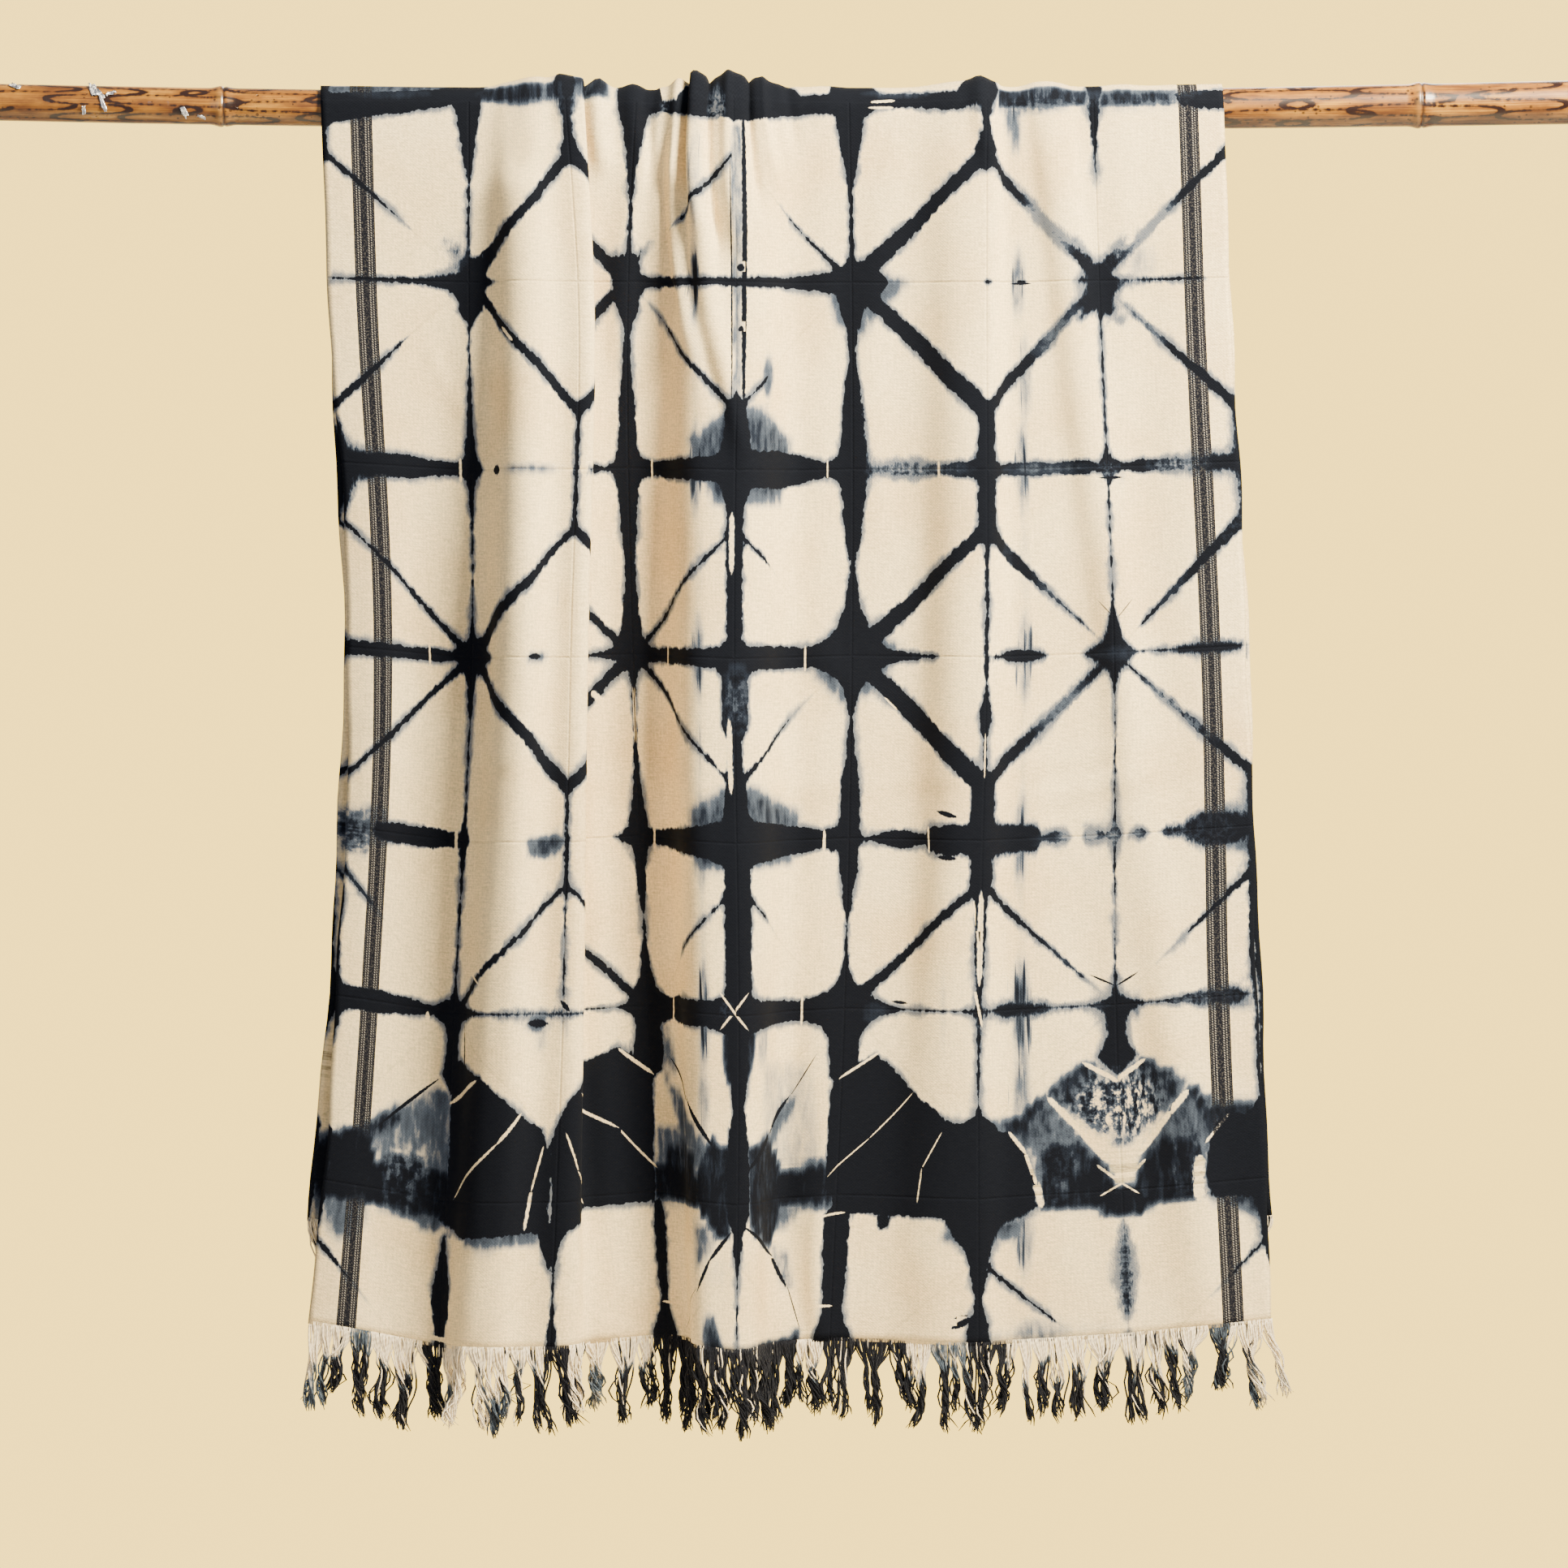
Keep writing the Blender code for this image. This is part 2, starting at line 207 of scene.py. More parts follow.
def linear(code: str, alpha: float = 1.0) -> tuple[float, float, float, float]:
    """Turn an sRGB hex colour such as E4D9C2 into linear values."""
    levels = [int(code[place : place + 2], 16) / 255.0 for place in (0, 2, 4)]
    low = [level / 12.92 if level <= 0.04045 else ((level + 0.055) / 1.055) ** 2.4 for level in levels]
    return (low[0], low[1], low[2], alpha)


def add_node(
    tree: bpy.types.NodeTree,
    kind: str,
    links: dict | tuple = (),
    output: int | str = 0,
    stops: tuple[tuple[float, str], ...] = (),
    **settings: object,
) -> bpy.types.NodeSocket | None:
    """Add a shader node with its settings and links.

    Args:
        tree: node tree to add to.
        kind: identifier of the node, such as ShaderNodeMath.
        links: socket, or its place, to a plain value or to another node's output.
        output: the output socket wanted back.
        stops: place and hex colour of each stop of a colour ramp.
        **settings: properties of the node.

    Returns:
        The wanted output socket, or nothing for a node without outputs.
    """
    node = tree.nodes.new(kind)
    for name, value in settings.items():
        setattr(node, name, value)
    pairs = links.items() if isinstance(links, dict) else enumerate(links)
    for socket, source in pairs:
        if isinstance(source, bpy.types.NodeSocket):
            tree.links.new(source, node.inputs[socket])
        else:
            node.inputs[socket].default_value = source
    if stops:
        band = node.color_ramp.elements
        while len(band) > 1:
            band.remove(band[-1])
        band[0].position = stops[0][0]
        band[0].color = linear(stops[0][1])
        for place, code in stops[1:]:
            band.new(place).color = linear(code)
    return node.outputs[output] if node.outputs else None


MATH = "ShaderNodeMath"
VECTOR = "ShaderNodeVectorMath"
RANGE = "ShaderNodeMapRange"
NOISE = "ShaderNodeTexNoise"
MIX = "ShaderNodeMix"
RAMP = "ShaderNodeValToRGB"

# Dye chart of the cloth in millimetres on the flat cloth: across from the left side edge,
# and down from the pole's top. A half width below zero means no dye. The places and half
# widths were noted by eye in picture pixels on zoomed crops of the photo. A helper script
# turned them into flat millimetres and printed the tables of dye, ties, marks and spots.
COLUMN_DYE: dict[int, tuple[tuple[float, float], ...]] = {
    0: ((4, 8.6), (40, 5.8), (61, 3.6), (79, 1.4), (94, -3.6), (295, -3.6), (310, 2.2), (335, 8.6),
        (349, 13.7), (372, 10.1), (395, 2.2), (410, -3.6), (716, -3.6), (731, 2.2), (796, 2.2), (814,
        4.3), (828, 8.6), (840, 7.2), (853, 2.9), (868, 0.7), (889, -3.6), (936, -3.6), (947, 4.3),
        (1012, 4.3), (1033, 1.4), (1055, -3.6)),
    1: ((0, 18.7), (24, 15.1), (40, 10.8), (68, 6.5), (94, 1.6), (148, 0.9), (180, 1.4), (194, 10.1),
        (211, 6.5), (220, 0.6), (248, 0.6), (263, 1.1), (308, 3.6), (343, 6.5), (356, 6.5), (366, 3.2),
        (400, 1.1), (423, 0.6), (464, 0.4), (482, 1.1), (500, 3.6), (512, 8.6), (535, 4.3), (558, 2.2),
        (580, 0.6), (628, 0.9), (662, 1.8), (683, 4.0), (699, 2.2), (731, 0.9), (766, 0.6), (805, 1.4),
        (821, 4.3), (828, 8.6), (860, 6.5), (889, 10.1), (900, -3.6), (1012, -3.6), (1026, 1.4), (1044,
        4.3), (1058, 7.9), (1076, 10.8), (1098, 9.4), (1112, 5.0), (1121, 6.5), (1130, 10.1), (1148,
        11.5)),
    2: ((0, 7.2), (24, 8.6), (40, 3.6), (58, 5.0), (68, 10.1), (76, 7.2), (84, -3.6), (288, -3.6), (297,
        1.4), (320, 2.2), (378, 2.2), (402, 1.4), (413, -3.6), (619, -3.6), (628, 1.4), (659, 2.2),
        (695, 2.2), (718, 1.4), (727, 0.4), (760, 0.6), (810, 0.6), (824, -3.6), (925, -3.6), (1012,
        2.9), (1030, 2.9), (1069, 0.7), (1082, 0.6), (1091, 2.2), (1112, 4.3), (1148, 5.8)),
    3: ((0, 15.8), (17, 17.3), (32, 15.1), (47, 10.1), (76, 5.8), (108, 1.8), (148, 1.6), (176, 5.0),
        (189, 12.2), (209, 5.8), (220, 3.6), (256, 4.3), (285, 6.8), (331, 10.1), (349, 14.4), (364,
        11.5), (377, 9.4), (400, 8.6), (428, 5.8), (455, 5.0), (464, 7.9), (479, 8.6), (508, 13.0),
        (529, 5.8), (544, 1.4), (594, 1.4), (598, 2.2), (639, 4.3), (657, 7.9), (670, 9.4), (684, 7.9),
        (697, 5.8), (729, 3.6), (745, 1.4), (770, 1.4), (778, 3.6), (796, 5.0), (821, 14.4), (840,
        11.5), (860, 15.8), (882, 14.4), (900, -3.6), (996, -3.6), (1004, 5.8), (1040, 5.8), (1089,
        3.6), (1095, 3.6), (1105, 8.6), (1120, 13.0), (1148, 13.0)),
    4: ((0, 8.6), (17, 8.6), (37, 5.8), (45, -3.6), (270, -3.6), (286, 5.0), (299, 11.5), (335, 15.8),
        (364, 15.8), (387, 8.6), (407, 8.6), (436, 8.6), (441, 7.9), (505, 7.9), (510, 13.7), (544,
        13.7), (577, 13.7), (581, 7.2), (616, 7.2), (623, 10.1), (652, 13.7), (695, 13.7), (708, 13.7),
        (760, 14.4), (809, 14.4), (839, 12.2), (868, 10.1), (896, 7.9), (914, 5.8), (925, 10.1), (940,
        11.5), (968, 13.0), (1004, 13.0), (1019, 6.5), (1040, 3.6), (1058, 0.7), (1069, 0.4), (1148,
        0.4)),
    5: ((0, 18.7), (25, 17.3), (40, 13.7), (61, 10.1), (83, 5.8), (108, 1.7), (140, 1.6), (162, 2.9),
        (180, 13.0), (202, 14.4), (223, 6.5), (234, 5.0), (256, 2.9), (276, 8.6), (320, 12.2), (347,
        14.4), (377, 11.5), (412, 7.9), (430, 2.2), (446, 4.3), (469, 7.2), (500, 21.6), (518, 21.6),
        (544, 8.6), (550, 6.5), (571, 1.7), (598, 4.3), (635, 9.7), (674, 10.1), (704, 8.6), (736, 4.0),
        (755, 0.7), (784, 2.2), (803, 7.2), (828, 24.5), (857, 15.8), (882, 14.4), (900, -3.6), (996,
        -3.6), (1007, 13.0), (1026, 13.0), (1062, 11.5), (1087, 10.1), (1095, 10.1), (1105, 13.0),
        (1120, 19.4), (1148, 21.6)),
    6: ((0, 10.1), (25, 5.8), (36, 2.9), (54, 4.3), (67, 11.5), (78, 5.8), (86, 1.4), (91, -3.6), (281,
        -3.6), (290, 2.3), (296, 7.2), (320, 8.6), (378, 8.6), (398, 8.6), (404, 2.2), (472, 1.7), (551,
        1.7), (559, 4.3), (572, 7.2), (583, 1.8), (621, 2.2), (627, 11.5), (659, 12.2), (695, 11.5),
        (716, 10.8), (724, 5.8), (781, 5.0), (809, 2.9), (839, 2.2), (868, 1.1), (918, 1.1), (932,
        21.6), (997, 43.2), (1012, 28.8), (1033, 13.0), (1055, 7.9), (1069, 6.5), (1081, 2.2), (1088,
        3.6), (1099, 7.9), (1120, 11.5), (1148, 11.5)),
    7: ((0, 7.2), (17, 6.5), (32, 5.8), (50, 3.6), (67, 0.9), (86, 0.4), (104, -3.6), (161, -3.6), (169,
        3.6), (185, 5.8), (208, 4.3), (223, 0.9), (292, 0.6), (308, 1.4), (338, 1.8), (350, 7.2), (358,
        2.9), (371, 0.6), (464, 0.6), (486, 4.3), (512, 11.5), (533, 5.0), (548, 1.4), (565, 0.4), (644,
        0.4), (659, 1.4), (668, 2.9), (681, 3.6), (691, 1.4), (702, 0.4), (799, 0.6), (809, 1.8), (821,
        4.3), (832, 13.0), (840, 9.4), (857, 9.4), (875, 18.7), (890, 1.4), (900, -3.6), (1012, -3.6),
        (1023, 0.7), (1044, 3.6), (1069, 5.8), (1091, 4.3), (1104, 2.2), (1112, -3.6), (1123, 1.4),
        (1148, 7.2)),
    8: ((0, -3.6), (60, -3.6), (67, 2.9), (76, 1.4), (83, -3.6), (284, -3.6), (290, 2.2), (335, 3.6),
        (378, 2.9), (405, 2.2), (414, -3.6), (619, -3.6), (628, 4.3), (695, 5.8), (809, 5.0), (824,
        2.9), (925, 3.6), (932, 14.4), (976, 15.8), (1012, 14.4), (1026, 8.6), (1055, 3.6), (1069, 1.4),
        (1084, -3.6)),
}
ROW_DYE: dict[int, tuple[tuple[float, float], ...]] = {
    1: ((0, -3.6), (4, 1.1), (35, 1.8), (74, 2.5), (100, 4.0), (121, 8.6), (145, 9.4), (159, 3.6), (184,
        -3.6), (390, -3.6), (402, 8.6), (427, 4.3), (481, 3.6), (520, 2.9), (538, 3.6), (555, 4.0),
        (593, 4.3), (622, 5.4), (641, 7.9), (663, 11.5), (695, 12.2), (707, 6.5), (714, -3.6), (799,
        -3.6), (811, 2.2), (830, -3.6), (844, -3.6), (850, 1.8), (859, 1.8), (866, -3.6), (909, -3.6),
        (920, 1.1), (933, 2.2), (944, 6.5), (955, 6.5), (965, 2.2), (984, 1.2), (1019, 1.0), (1055,
        0.9), (1062, -3.6)),
    2: ((0, 11.5), (9, 13.0), (41, 11.5), (73, 10.1), (101, 7.2), (116, 5.8), (129, 5.8), (147, 4.3),
        (155, -3.6), (278, -3.6), (283, 1.4), (370, 3.6), (377, 1.4), (390, 2.2), (398, 6.5), (410,
        8.6), (425, 7.2), (433, 6.5), (464, 7.9), (517, 11.5), (535, 14.4), (556, 15.8), (589, 17.3),
        (622, 12.2), (649, 6.5), (666, 10.8), (682, 8.6), (692, 2.2), (705, 2.9), (716, 5.8), (737,
        6.5), (756, 4.3), (765, 4.3), (783, 6.5), (801, 6.5), (816, 2.2), (827, 4.3), (846, 5.8), (873,
        5.8), (880, 5.0), (906, 5.8), (928, 5.8), (933, 2.2), (948, 7.2), (965, 2.2), (970, 4.3), (981,
        5.8), (990, 5.0), (999, 5.0), (1012, 5.8), (1026, 5.0), (1030, 6.5), (1052, 7.9), (1078, 7.2)),
    3: ((0, 5.8), (0, 6.5), (42, 6.5), (81, 5.0), (96, 5.8), (116, 4.3), (136, 10.1), (163, 2.2), (180,
        -3.6), (287, -3.6), (365, 1.4), (381, 3.6), (404, 13.0), (423, 5.8), (449, 6.5), (490, 7.2),
        (527, 10.1), (557, 10.8), (597, 10.1), (621, 8.6), (634, 9.4), (676, 24.5), (695, 15.8), (711,
        6.5), (734, 2.9), (764, 0.4), (779, -3.6), (811, -3.6), (818, 1.4), (835, 4.3), (854, 5.8),
        (872, 3.6), (884, -3.6), (907, -3.6), (916, 2.2), (943, 13.0), (965, 2.2), (972, 0.6), (985,
        0.6), (1002, 1.4), (1027, 4.3), (1055, 5.0), (1075, 2.2), (1080, -3.6)),
    4: ((0, -3.6), (25, -3.6), (32, 8.6), (69, 8.6), (107, 7.9), (122, 6.5), (129, 5.0), (137, 2.2),
        (147, -3.6), (370, -3.6), (380, 1.4), (391, 4.3), (408, 6.5), (420, 5.8), (429, 7.2), (486,
        11.5), (520, 18.7), (537, 20.2), (560, 18.7), (593, 15.8), (625, 11.5), (647, 7.2), (657, 10.1),
        (677, 5.8), (681, 0.6), (694, 0.6), (702, 4.3), (725, 8.6), (752, 4.3), (758, 10.1), (789,
        11.5), (803, 13.0), (821, 12.2), (846, 13.0), (867, 11.5), (872, 2.2), (878, 4.3), (888, 5.8),
        (899, 3.6), (905, -3.6), (910, -3.6), (917, 5.0), (931, 4.3), (936, 0.7), (951, 0.7), (956,
        -3.6), (966, 4.3), (977, 4.3), (982, -3.6), (996, 4.3), (1014, 4.3), (1017, 8.6), (1035, 15.8),
        (1062, 15.1), (1075, 8.6), (1080, -3.6)),
    5: ((0, 5.8), (8, 10.1), (49, 10.1), (90, 6.5), (103, 4.3), (110, 2.9), (125, 10.1), (144, 6.5),
        (174, 1.4), (201, 0.4), (374, 0.4), (386, 4.3), (406, 15.8), (435, 8.6), (445, 11.5), (503,
        11.5), (535, 17.3), (571, 12.2), (622, 8.6), (635, 10.1), (677, 21.6), (706, 8.6), (720, 3.6),
        (730, 0.4), (821, 0.4), (826, 1.4), (837, 6.5), (860, 6.5), (879, 3.6), (885, 0.4), (918, 0.6),
        (928, 2.9), (946, 5.8), (965, 2.9), (972, 0.6), (992, 0.7), (1005, 2.9), (1036, 7.2), (1058,
        7.9), (1067, 4.3), (1077, -3.6)),
}
# The band on the pole: across, its upper edge and its lower edge
POLE_BAND: tuple[tuple[float, float, float], ...] = (
    (0, 18, 45), (18, 17, 44), (49, 15, 38), (77, 13, 35), (107, 10, 30), (118, 0, 27), (140, 10, 20),
    (166, 11, 19), (199, 19, 16), (245, 19, 17), (254, 18, 24), (265, 0, 28), (275, 0, 28), (281, 20,
    15), (390, 20, 15), (396, 0, 34), (423, 0, 34), (429, 0, 34), (435, 24, 33), (454, 25, 34), (465,
    10, 35), (487, 0, 37), (519, 0, 38), (547, 0, 41), (608, 0, 37), (613, 6, 37), (625, 19, 35), (659,
    17, 34), (665, 0, 34), (697, 0, 32), (701, 15, 29), (732, 16, 29), (783, 18, 32), (793, 0, 29),
    (816, 0, 29), (828, 20, 15), (940, 20, 15), (942, 0, 25), (950, 0, 25), (953, 20, 15), (1025, 20,
    15), (1035, 17, 28), (1047, 16, 31), (1078, 15, 33), (1080, 15, 33),
)
# Slanting lines by (panel, interval of rows): half widths in five even steps from the
# star on the odd column to the even column
SLANT_DYE: dict[tuple[int, int], tuple[float, ...]] = {
    (0, 0): (-3.6, -3.6, 0.9, 2.2, 2.5), (0, 1): (-3.6, -3.6, 0.7, 2.9, 2.9),
    (0, 2): (2.9, 2.5, 2.2, 1.8, 1.8), (0, 3): (2.5, 2.5, 2.5, 2.5, 2.2),
    (0, 4): (-3.6, -3.6, -3.6, 1.4, 2.2), (0, 6): (-3.6, -3.6, -3.6, 1.4, 2.2),
    (1, 0): (5.8, 5.8, 4.3, 4.3, 5.8), (1, 1): (4.3, 3.6, 3.6, 4.3, 4.3), (1, 2): (6.5, 5.8, 4.3, 3.6, 2.9),
    (1, 3): (4.3, 4.3, 5.0, 5.8, 5.8), (1, 4): (2.9, 2.9, 2.5, 2.2, 2.2), (2, 0): (5.8, 5.0, 3.6, 5.0, 6.5),
    (2, 1): (5.0, 5.0, 5.0, 5.0, 5.0), (2, 2): (4.3, 3.6, 3.6, 3.6, 4.3), (2, 3): (5.0, 5.0, 5.0, 5.0, 5.0),
    (2, 4): (3.6, 3.6, 2.9, 2.2, 1.8), (3, 0): (-3.6, -3.6, 1.1, 2.2, 1.4),
    (3, 1): (-3.6, 0.6, 1.8, 2.2, 2.2), (3, 2): (2.2, 1.4, 1.1, 1.4, 2.2),
    (3, 3): (2.2, 1.8, 1.4, 1.4, 1.8), (3, 4): (-3.6, -3.6, 0.6, 0.7, 1.4),
    (4, 0): (2.9, 1.4, 0.6, -3.6, -3.6), (4, 1): (-3.6, -3.6, -3.6, 0.9, 2.2),
    (4, 2): (-3.6, -3.6, -3.6, 0.7, 1.4), (4, 3): (-3.6, -3.6, 0.7, 1.4, 2.2),
    (4, 4): (-3.6, -3.6, -3.6, 0.6, 1.4), (5, 0): (8.6, 7.2, 6.5, 5.8, 6.5),
    (5, 1): (7.2, 7.2, 7.9, 8.6, 8.6), (5, 2): (7.9, 7.2, 6.5, 5.8, 5.8), (5, 3): (7.9, 7.9, 8.6, 8.6, 8.6),
    (5, 4): (5.8, 4.3, 3.6, 3.6, 3.6), (6, 0): (5.0, 3.6, 2.9, 4.3, 4.3), (6, 1): (3.6, 3.6, 5.0, 5.0, 5.0),
    (6, 2): (-3.6, 0.7, 2.2, 5.0, 5.8), (6, 3): (2.9, 3.6, 4.3, 5.0, 5.8),
    (6, 4): (-3.6, 0.7, 1.4, 2.5, 2.9), (6, 6): (-3.6, -3.6, 0.6, 1.1, 2.2),
    (7, 0): (4.3, 2.2, 2.5, 3.6, 3.6), (7, 1): (-3.6, 1.4, 2.9, 4.3, 5.0),
    (7, 2): (-3.6, 1.4, 2.9, 4.3, 5.8), (7, 3): (0.7, 1.4, 2.9, 4.3, 4.3),
    (7, 4): (-3.6, -3.6, 0.7, 2.2, 3.6), (7, 6): (-3.6, -3.6, -3.6, 0.7, 1.4),
}
# Solid dyed bodies as corner points
DYED_BODIES: dict[str, tuple[tuple[float, float], ...]] = {
    "star_1": ((113, 150), (122, 153), (129, 162), (136, 161), (143, 163), (154, 155), (168, 152), (153, 163),
        (148, 176), (150, 190), (153, 205), (147, 212), (139, 219), (131, 215), (124, 208), (127, 199),
        (117, 194), (119, 188), (125, 181), (127, 168), (119, 156)),
    "star_3": ((391, 158), (399, 162), (407, 161), (418, 156), (430, 150), (414, 159), (417, 172), (423, 190),
        (415, 199), (418, 208), (411, 219), (402, 219), (397, 212), (392, 199), (388, 172)),
    "star_7": ((915, 148), (930, 161), (943, 169), (957, 161), (972, 145), (967, 161), (957, 173), (960, 185),
        (971, 188), (958, 195), (961, 208), (970, 221), (955, 214), (942, 208), (928, 214), (917, 221),
        (926, 205), (931, 194), (921, 189), (933, 182), (927, 172)),
    "panel_1": ((136, 896), (141, 868), (180, 883), (224, 915), (253, 929), (259, 942), (262, 1020), (166,
        1026), (127, 1012), (136, 977)),
    "panel_2": ((262, 938), (276, 908), (294, 890), (374, 862), (406, 884), (401, 1002), (330, 1002), (267,
        1025)),
    "panel_5": ((672, 888), (707, 867), (748, 901), (781, 924), (809, 933), (811, 1012), (691, 1009), (662,
        990), (663, 896)),
    "dome": ((810, 937), (842, 935), (856, 954), (866, 983), (868, 1003), (846, 1015), (811, 1020)),
    "right_block": ((1031, 947), (1043, 934), (1054, 932), (1080, 937), (1080, 1004), (1074, 1012), (1028,
        1006),
        (1024, 983)),
    "below_6": ((777, 1009), (811, 1012), (835, 1012), (827, 1026), (815, 1055), (804, 1055), (799, 1040),
        (786,
        1026)),
    "below_2": ((252, 1012), (286, 1012), (274, 1033), (267, 1052), (264, 1052), (256, 1033)),
    "tag_5": ((714, 1009), (728, 1009), (721, 1023), (715, 1022)),
    "block_4_6": ((757, 665), (788, 663), (792, 692), (762, 689)),
}
# Washed places: strength, softness and corner points
WASHED_BODIES: dict[str, tuple[float, float, tuple[tuple[float, float], ...]]] = {
    "band_above": (0.6, 4, ((0, 6), (118, 0), (118, 17), (0, 19))),
    "band_1_2": (0.9, 4, ((140, 10), (245, 15), (264, 13), (263, 25), (208, 28), (140, 24))),
    "band_2_3": (0.8, 4, ((277, 6), (378, 0), (379, 22), (276, 24))),
    "band_6_7": (1.0, 4, ((826, 14), (939, 14), (938, 27), (882, 30), (826, 29))),
    "band_7_8": (0.9, 4, ((952, 15), (1030, 15), (1030, 28), (951, 29))),
    "band_4_5": (0.5, 4, ((550, 0), (605, 0), (605, 0), (550, 0))),
    "edge_0": (0.5, 6, ((0, 40), (9, 41), (4, 76), (0, 79))),
    "strand_4": (0.3, 2, ((537, 47), (548, 40), (546, 290), (532, 290), (534, 270), (539, 257), (535, 234),
        (538, 205),
        (533, 184), (538, 148), (534, 104))),
    "left_edge_bath": (1.2, 4, ((0, 951), (31, 944), (46, 953), (55, 968), (53, 986), (46, 1003), (0, 1006))),
    "left_washed": (0.42, 5, ((31, 944), (120, 893), (136, 898), (141, 990), (64, 997), (53, 961))),
    "left_corner": (0.8, 6, ((28, 945), (73, 919), (87, 928), (59, 947), (43, 953))),
    "left_border_bath": (1.1, 5, ((44, 970), (89, 961), (141, 971), (146, 1009), (93, 1012), (44, 1006))),
    "left_fade": (0.5, 13, ((0, 999), (51, 1004), (47, 1023), (2, 1033))),
    "panel_1_foot": (0.6, 7, ((156, 1012), (262, 1009), (259, 1029), (177, 1033))),
    "wing_left_shade": (0.45, 6, ((419, 889), (450, 904), (515, 947), (517, 960), (499, 957), (436, 931))),
    "wing_right_shade": (0.5, 6, ((619, 899), (593, 928), (552, 958), (561, 968), (605, 942), (627, 914))),
    "washed_3_4": (0.38, 6, ((406, 934), (476, 929), (505, 947), (493, 973), (403, 976))),
    "blot_3_4": (0.8, 5, ((418, 948), (460, 945), (488, 954), (485, 976), (414, 976))),
    "petal_left": (0.95, 3, ((509, 937), (498, 953), (490, 970), (489, 989), (497, 1006), (517, 1023), (531,
        1026), (532,
        940), (521, 942))),
    "petal_right": (0.9, 3, ((582, 937), (604, 953), (614, 973), (616, 991), (611, 1013), (597, 1037), (572,
        1027), (555,
        1016), (551, 947), (565, 940))),
    "border_left_of_4": (1.1, 4, ((402, 970), (493, 974), (497, 999), (400, 1001))),
    "border_right_of_4": (1.1, 5, ((607, 970), (668, 964), (672, 1003), (611, 1000))),
    "foot_left_of_4": (0.35, 7, ((484, 1012), (519, 1012), (507, 1040), (486, 1055))),
    "foot_right_of_4": (0.35, 7, ((598, 1033), (624, 1040), (632, 1076), (616, 1069))),
    "washed_4_5": (0.2, 10, ((569, 868), (641, 875), (661, 968), (615, 973), (575, 940))),
    "hem_left_of_4": (0.75, 6, ((498, 1099), (511, 1095), (521, 1120), (536, 1134), (502, 1134))),
    "hem_4": (0.8, 6, ((511, 1124), (615, 1120), (639, 1112), (640, 1135), (511, 1137))),
    "neck_4": (1.0, 4, ((523, 840), (559, 840), (557, 868), (549, 886), (528, 889), (523, 868))),
    "top_2_3": (0.35, 6, ((406, 835), (430, 840), (440, 886), (408, 883))),
    "medal_crown": (0.95, 6, ((878, 905), (889, 893), (916, 877), (944, 893), (968, 877), (1000, 893),
        (1013, 906), (994,
        919), (948, 954), (901, 922))),
    "medal_wing_left": (0.62, 5, ((836, 934), (877, 905), (927, 965), (866, 961))),
    "medal_wing_right": (0.62, 5, ((1012, 905), (1049, 935), (1030, 964), (960, 965))),
    "medal_edge_left": (0.95, 4, ((835, 935), (875, 904), (878, 911), (856, 938))),
    "medal_edge_right": (0.95, 4, ((1013, 904), (1051, 934), (1033, 938), (1010, 911))),
    "medal_lobe_left": (
        1.0, 4, ((866, 958), (885, 951), (912, 954), (931, 968), (938, 989), (925, 1009), (870, 1007))
    ),
    "medal_lobe_right": (
        1.0, 4, ((956, 989), (964, 968), (984, 954), (1009, 951), (1025, 961), (1022, 1006), (964, 1009))
    ),
    "medal_foot": (1.1, 4, ((915, 993), (947, 989), (978, 993), (962, 1016), (929, 1016))),
    "dome_crown": (0.8, 9, ((810, 928), (847, 925), (859, 940), (810, 945))),
    "right_crown": (0.85, 9, ((1027, 922), (1080, 925), (1080, 942), (1029, 951))),
    "right_foot": (0.75, 10, ((1023, 1001), (1080, 1003), (1079, 1033), (1057, 1020))),
    "spindle_7": (0.8, 4, ((946, 1033), (951, 1055), (947, 1088), (942, 1088), (941, 1055))),
    "lens_2": (0.5, 6, ((227, 829), (254, 824), (261, 836), (241, 843), (227, 836))),
    "lens_2_row_4": (0.75, 6, ((222, 677), (261, 669), (270, 680), (246, 690), (225, 686))),
    "lens_2_row_3": (0.5, 6, ((215, 512), (239, 510), (244, 518), (219, 519))),
    "edge_row_4": (0.95, 9, ((0, 660), (18, 667), (29, 677), (20, 692), (0, 698))),
    "edge_row_2": (0.95, 9, ((0, 333), (10, 336), (17, 349), (7, 368), (0, 372))),
    "row_4_right": (0.5, 7, ((1023, 666), (1079, 652), (1080, 702), (1028, 689))),
    "cross_row_2": (0.6, 9, ((490, 324), (538, 292), (569, 296), (610, 326), (595, 378), (518, 379))),
    "cross_row_4": (0.6, 9, ((487, 652), (525, 630), (571, 634), (622, 652), (614, 695), (496, 702))),
    "star_5_row_1": (0.5, 9, ((691, 169), (730, 184), (706, 205), (683, 234), (658, 220), (650, 191))),
    "star_5_row_3": (0.55, 10, ((683, 479), (721, 508), (703, 544), (668, 558), (634, 529), (650, 493))),
}
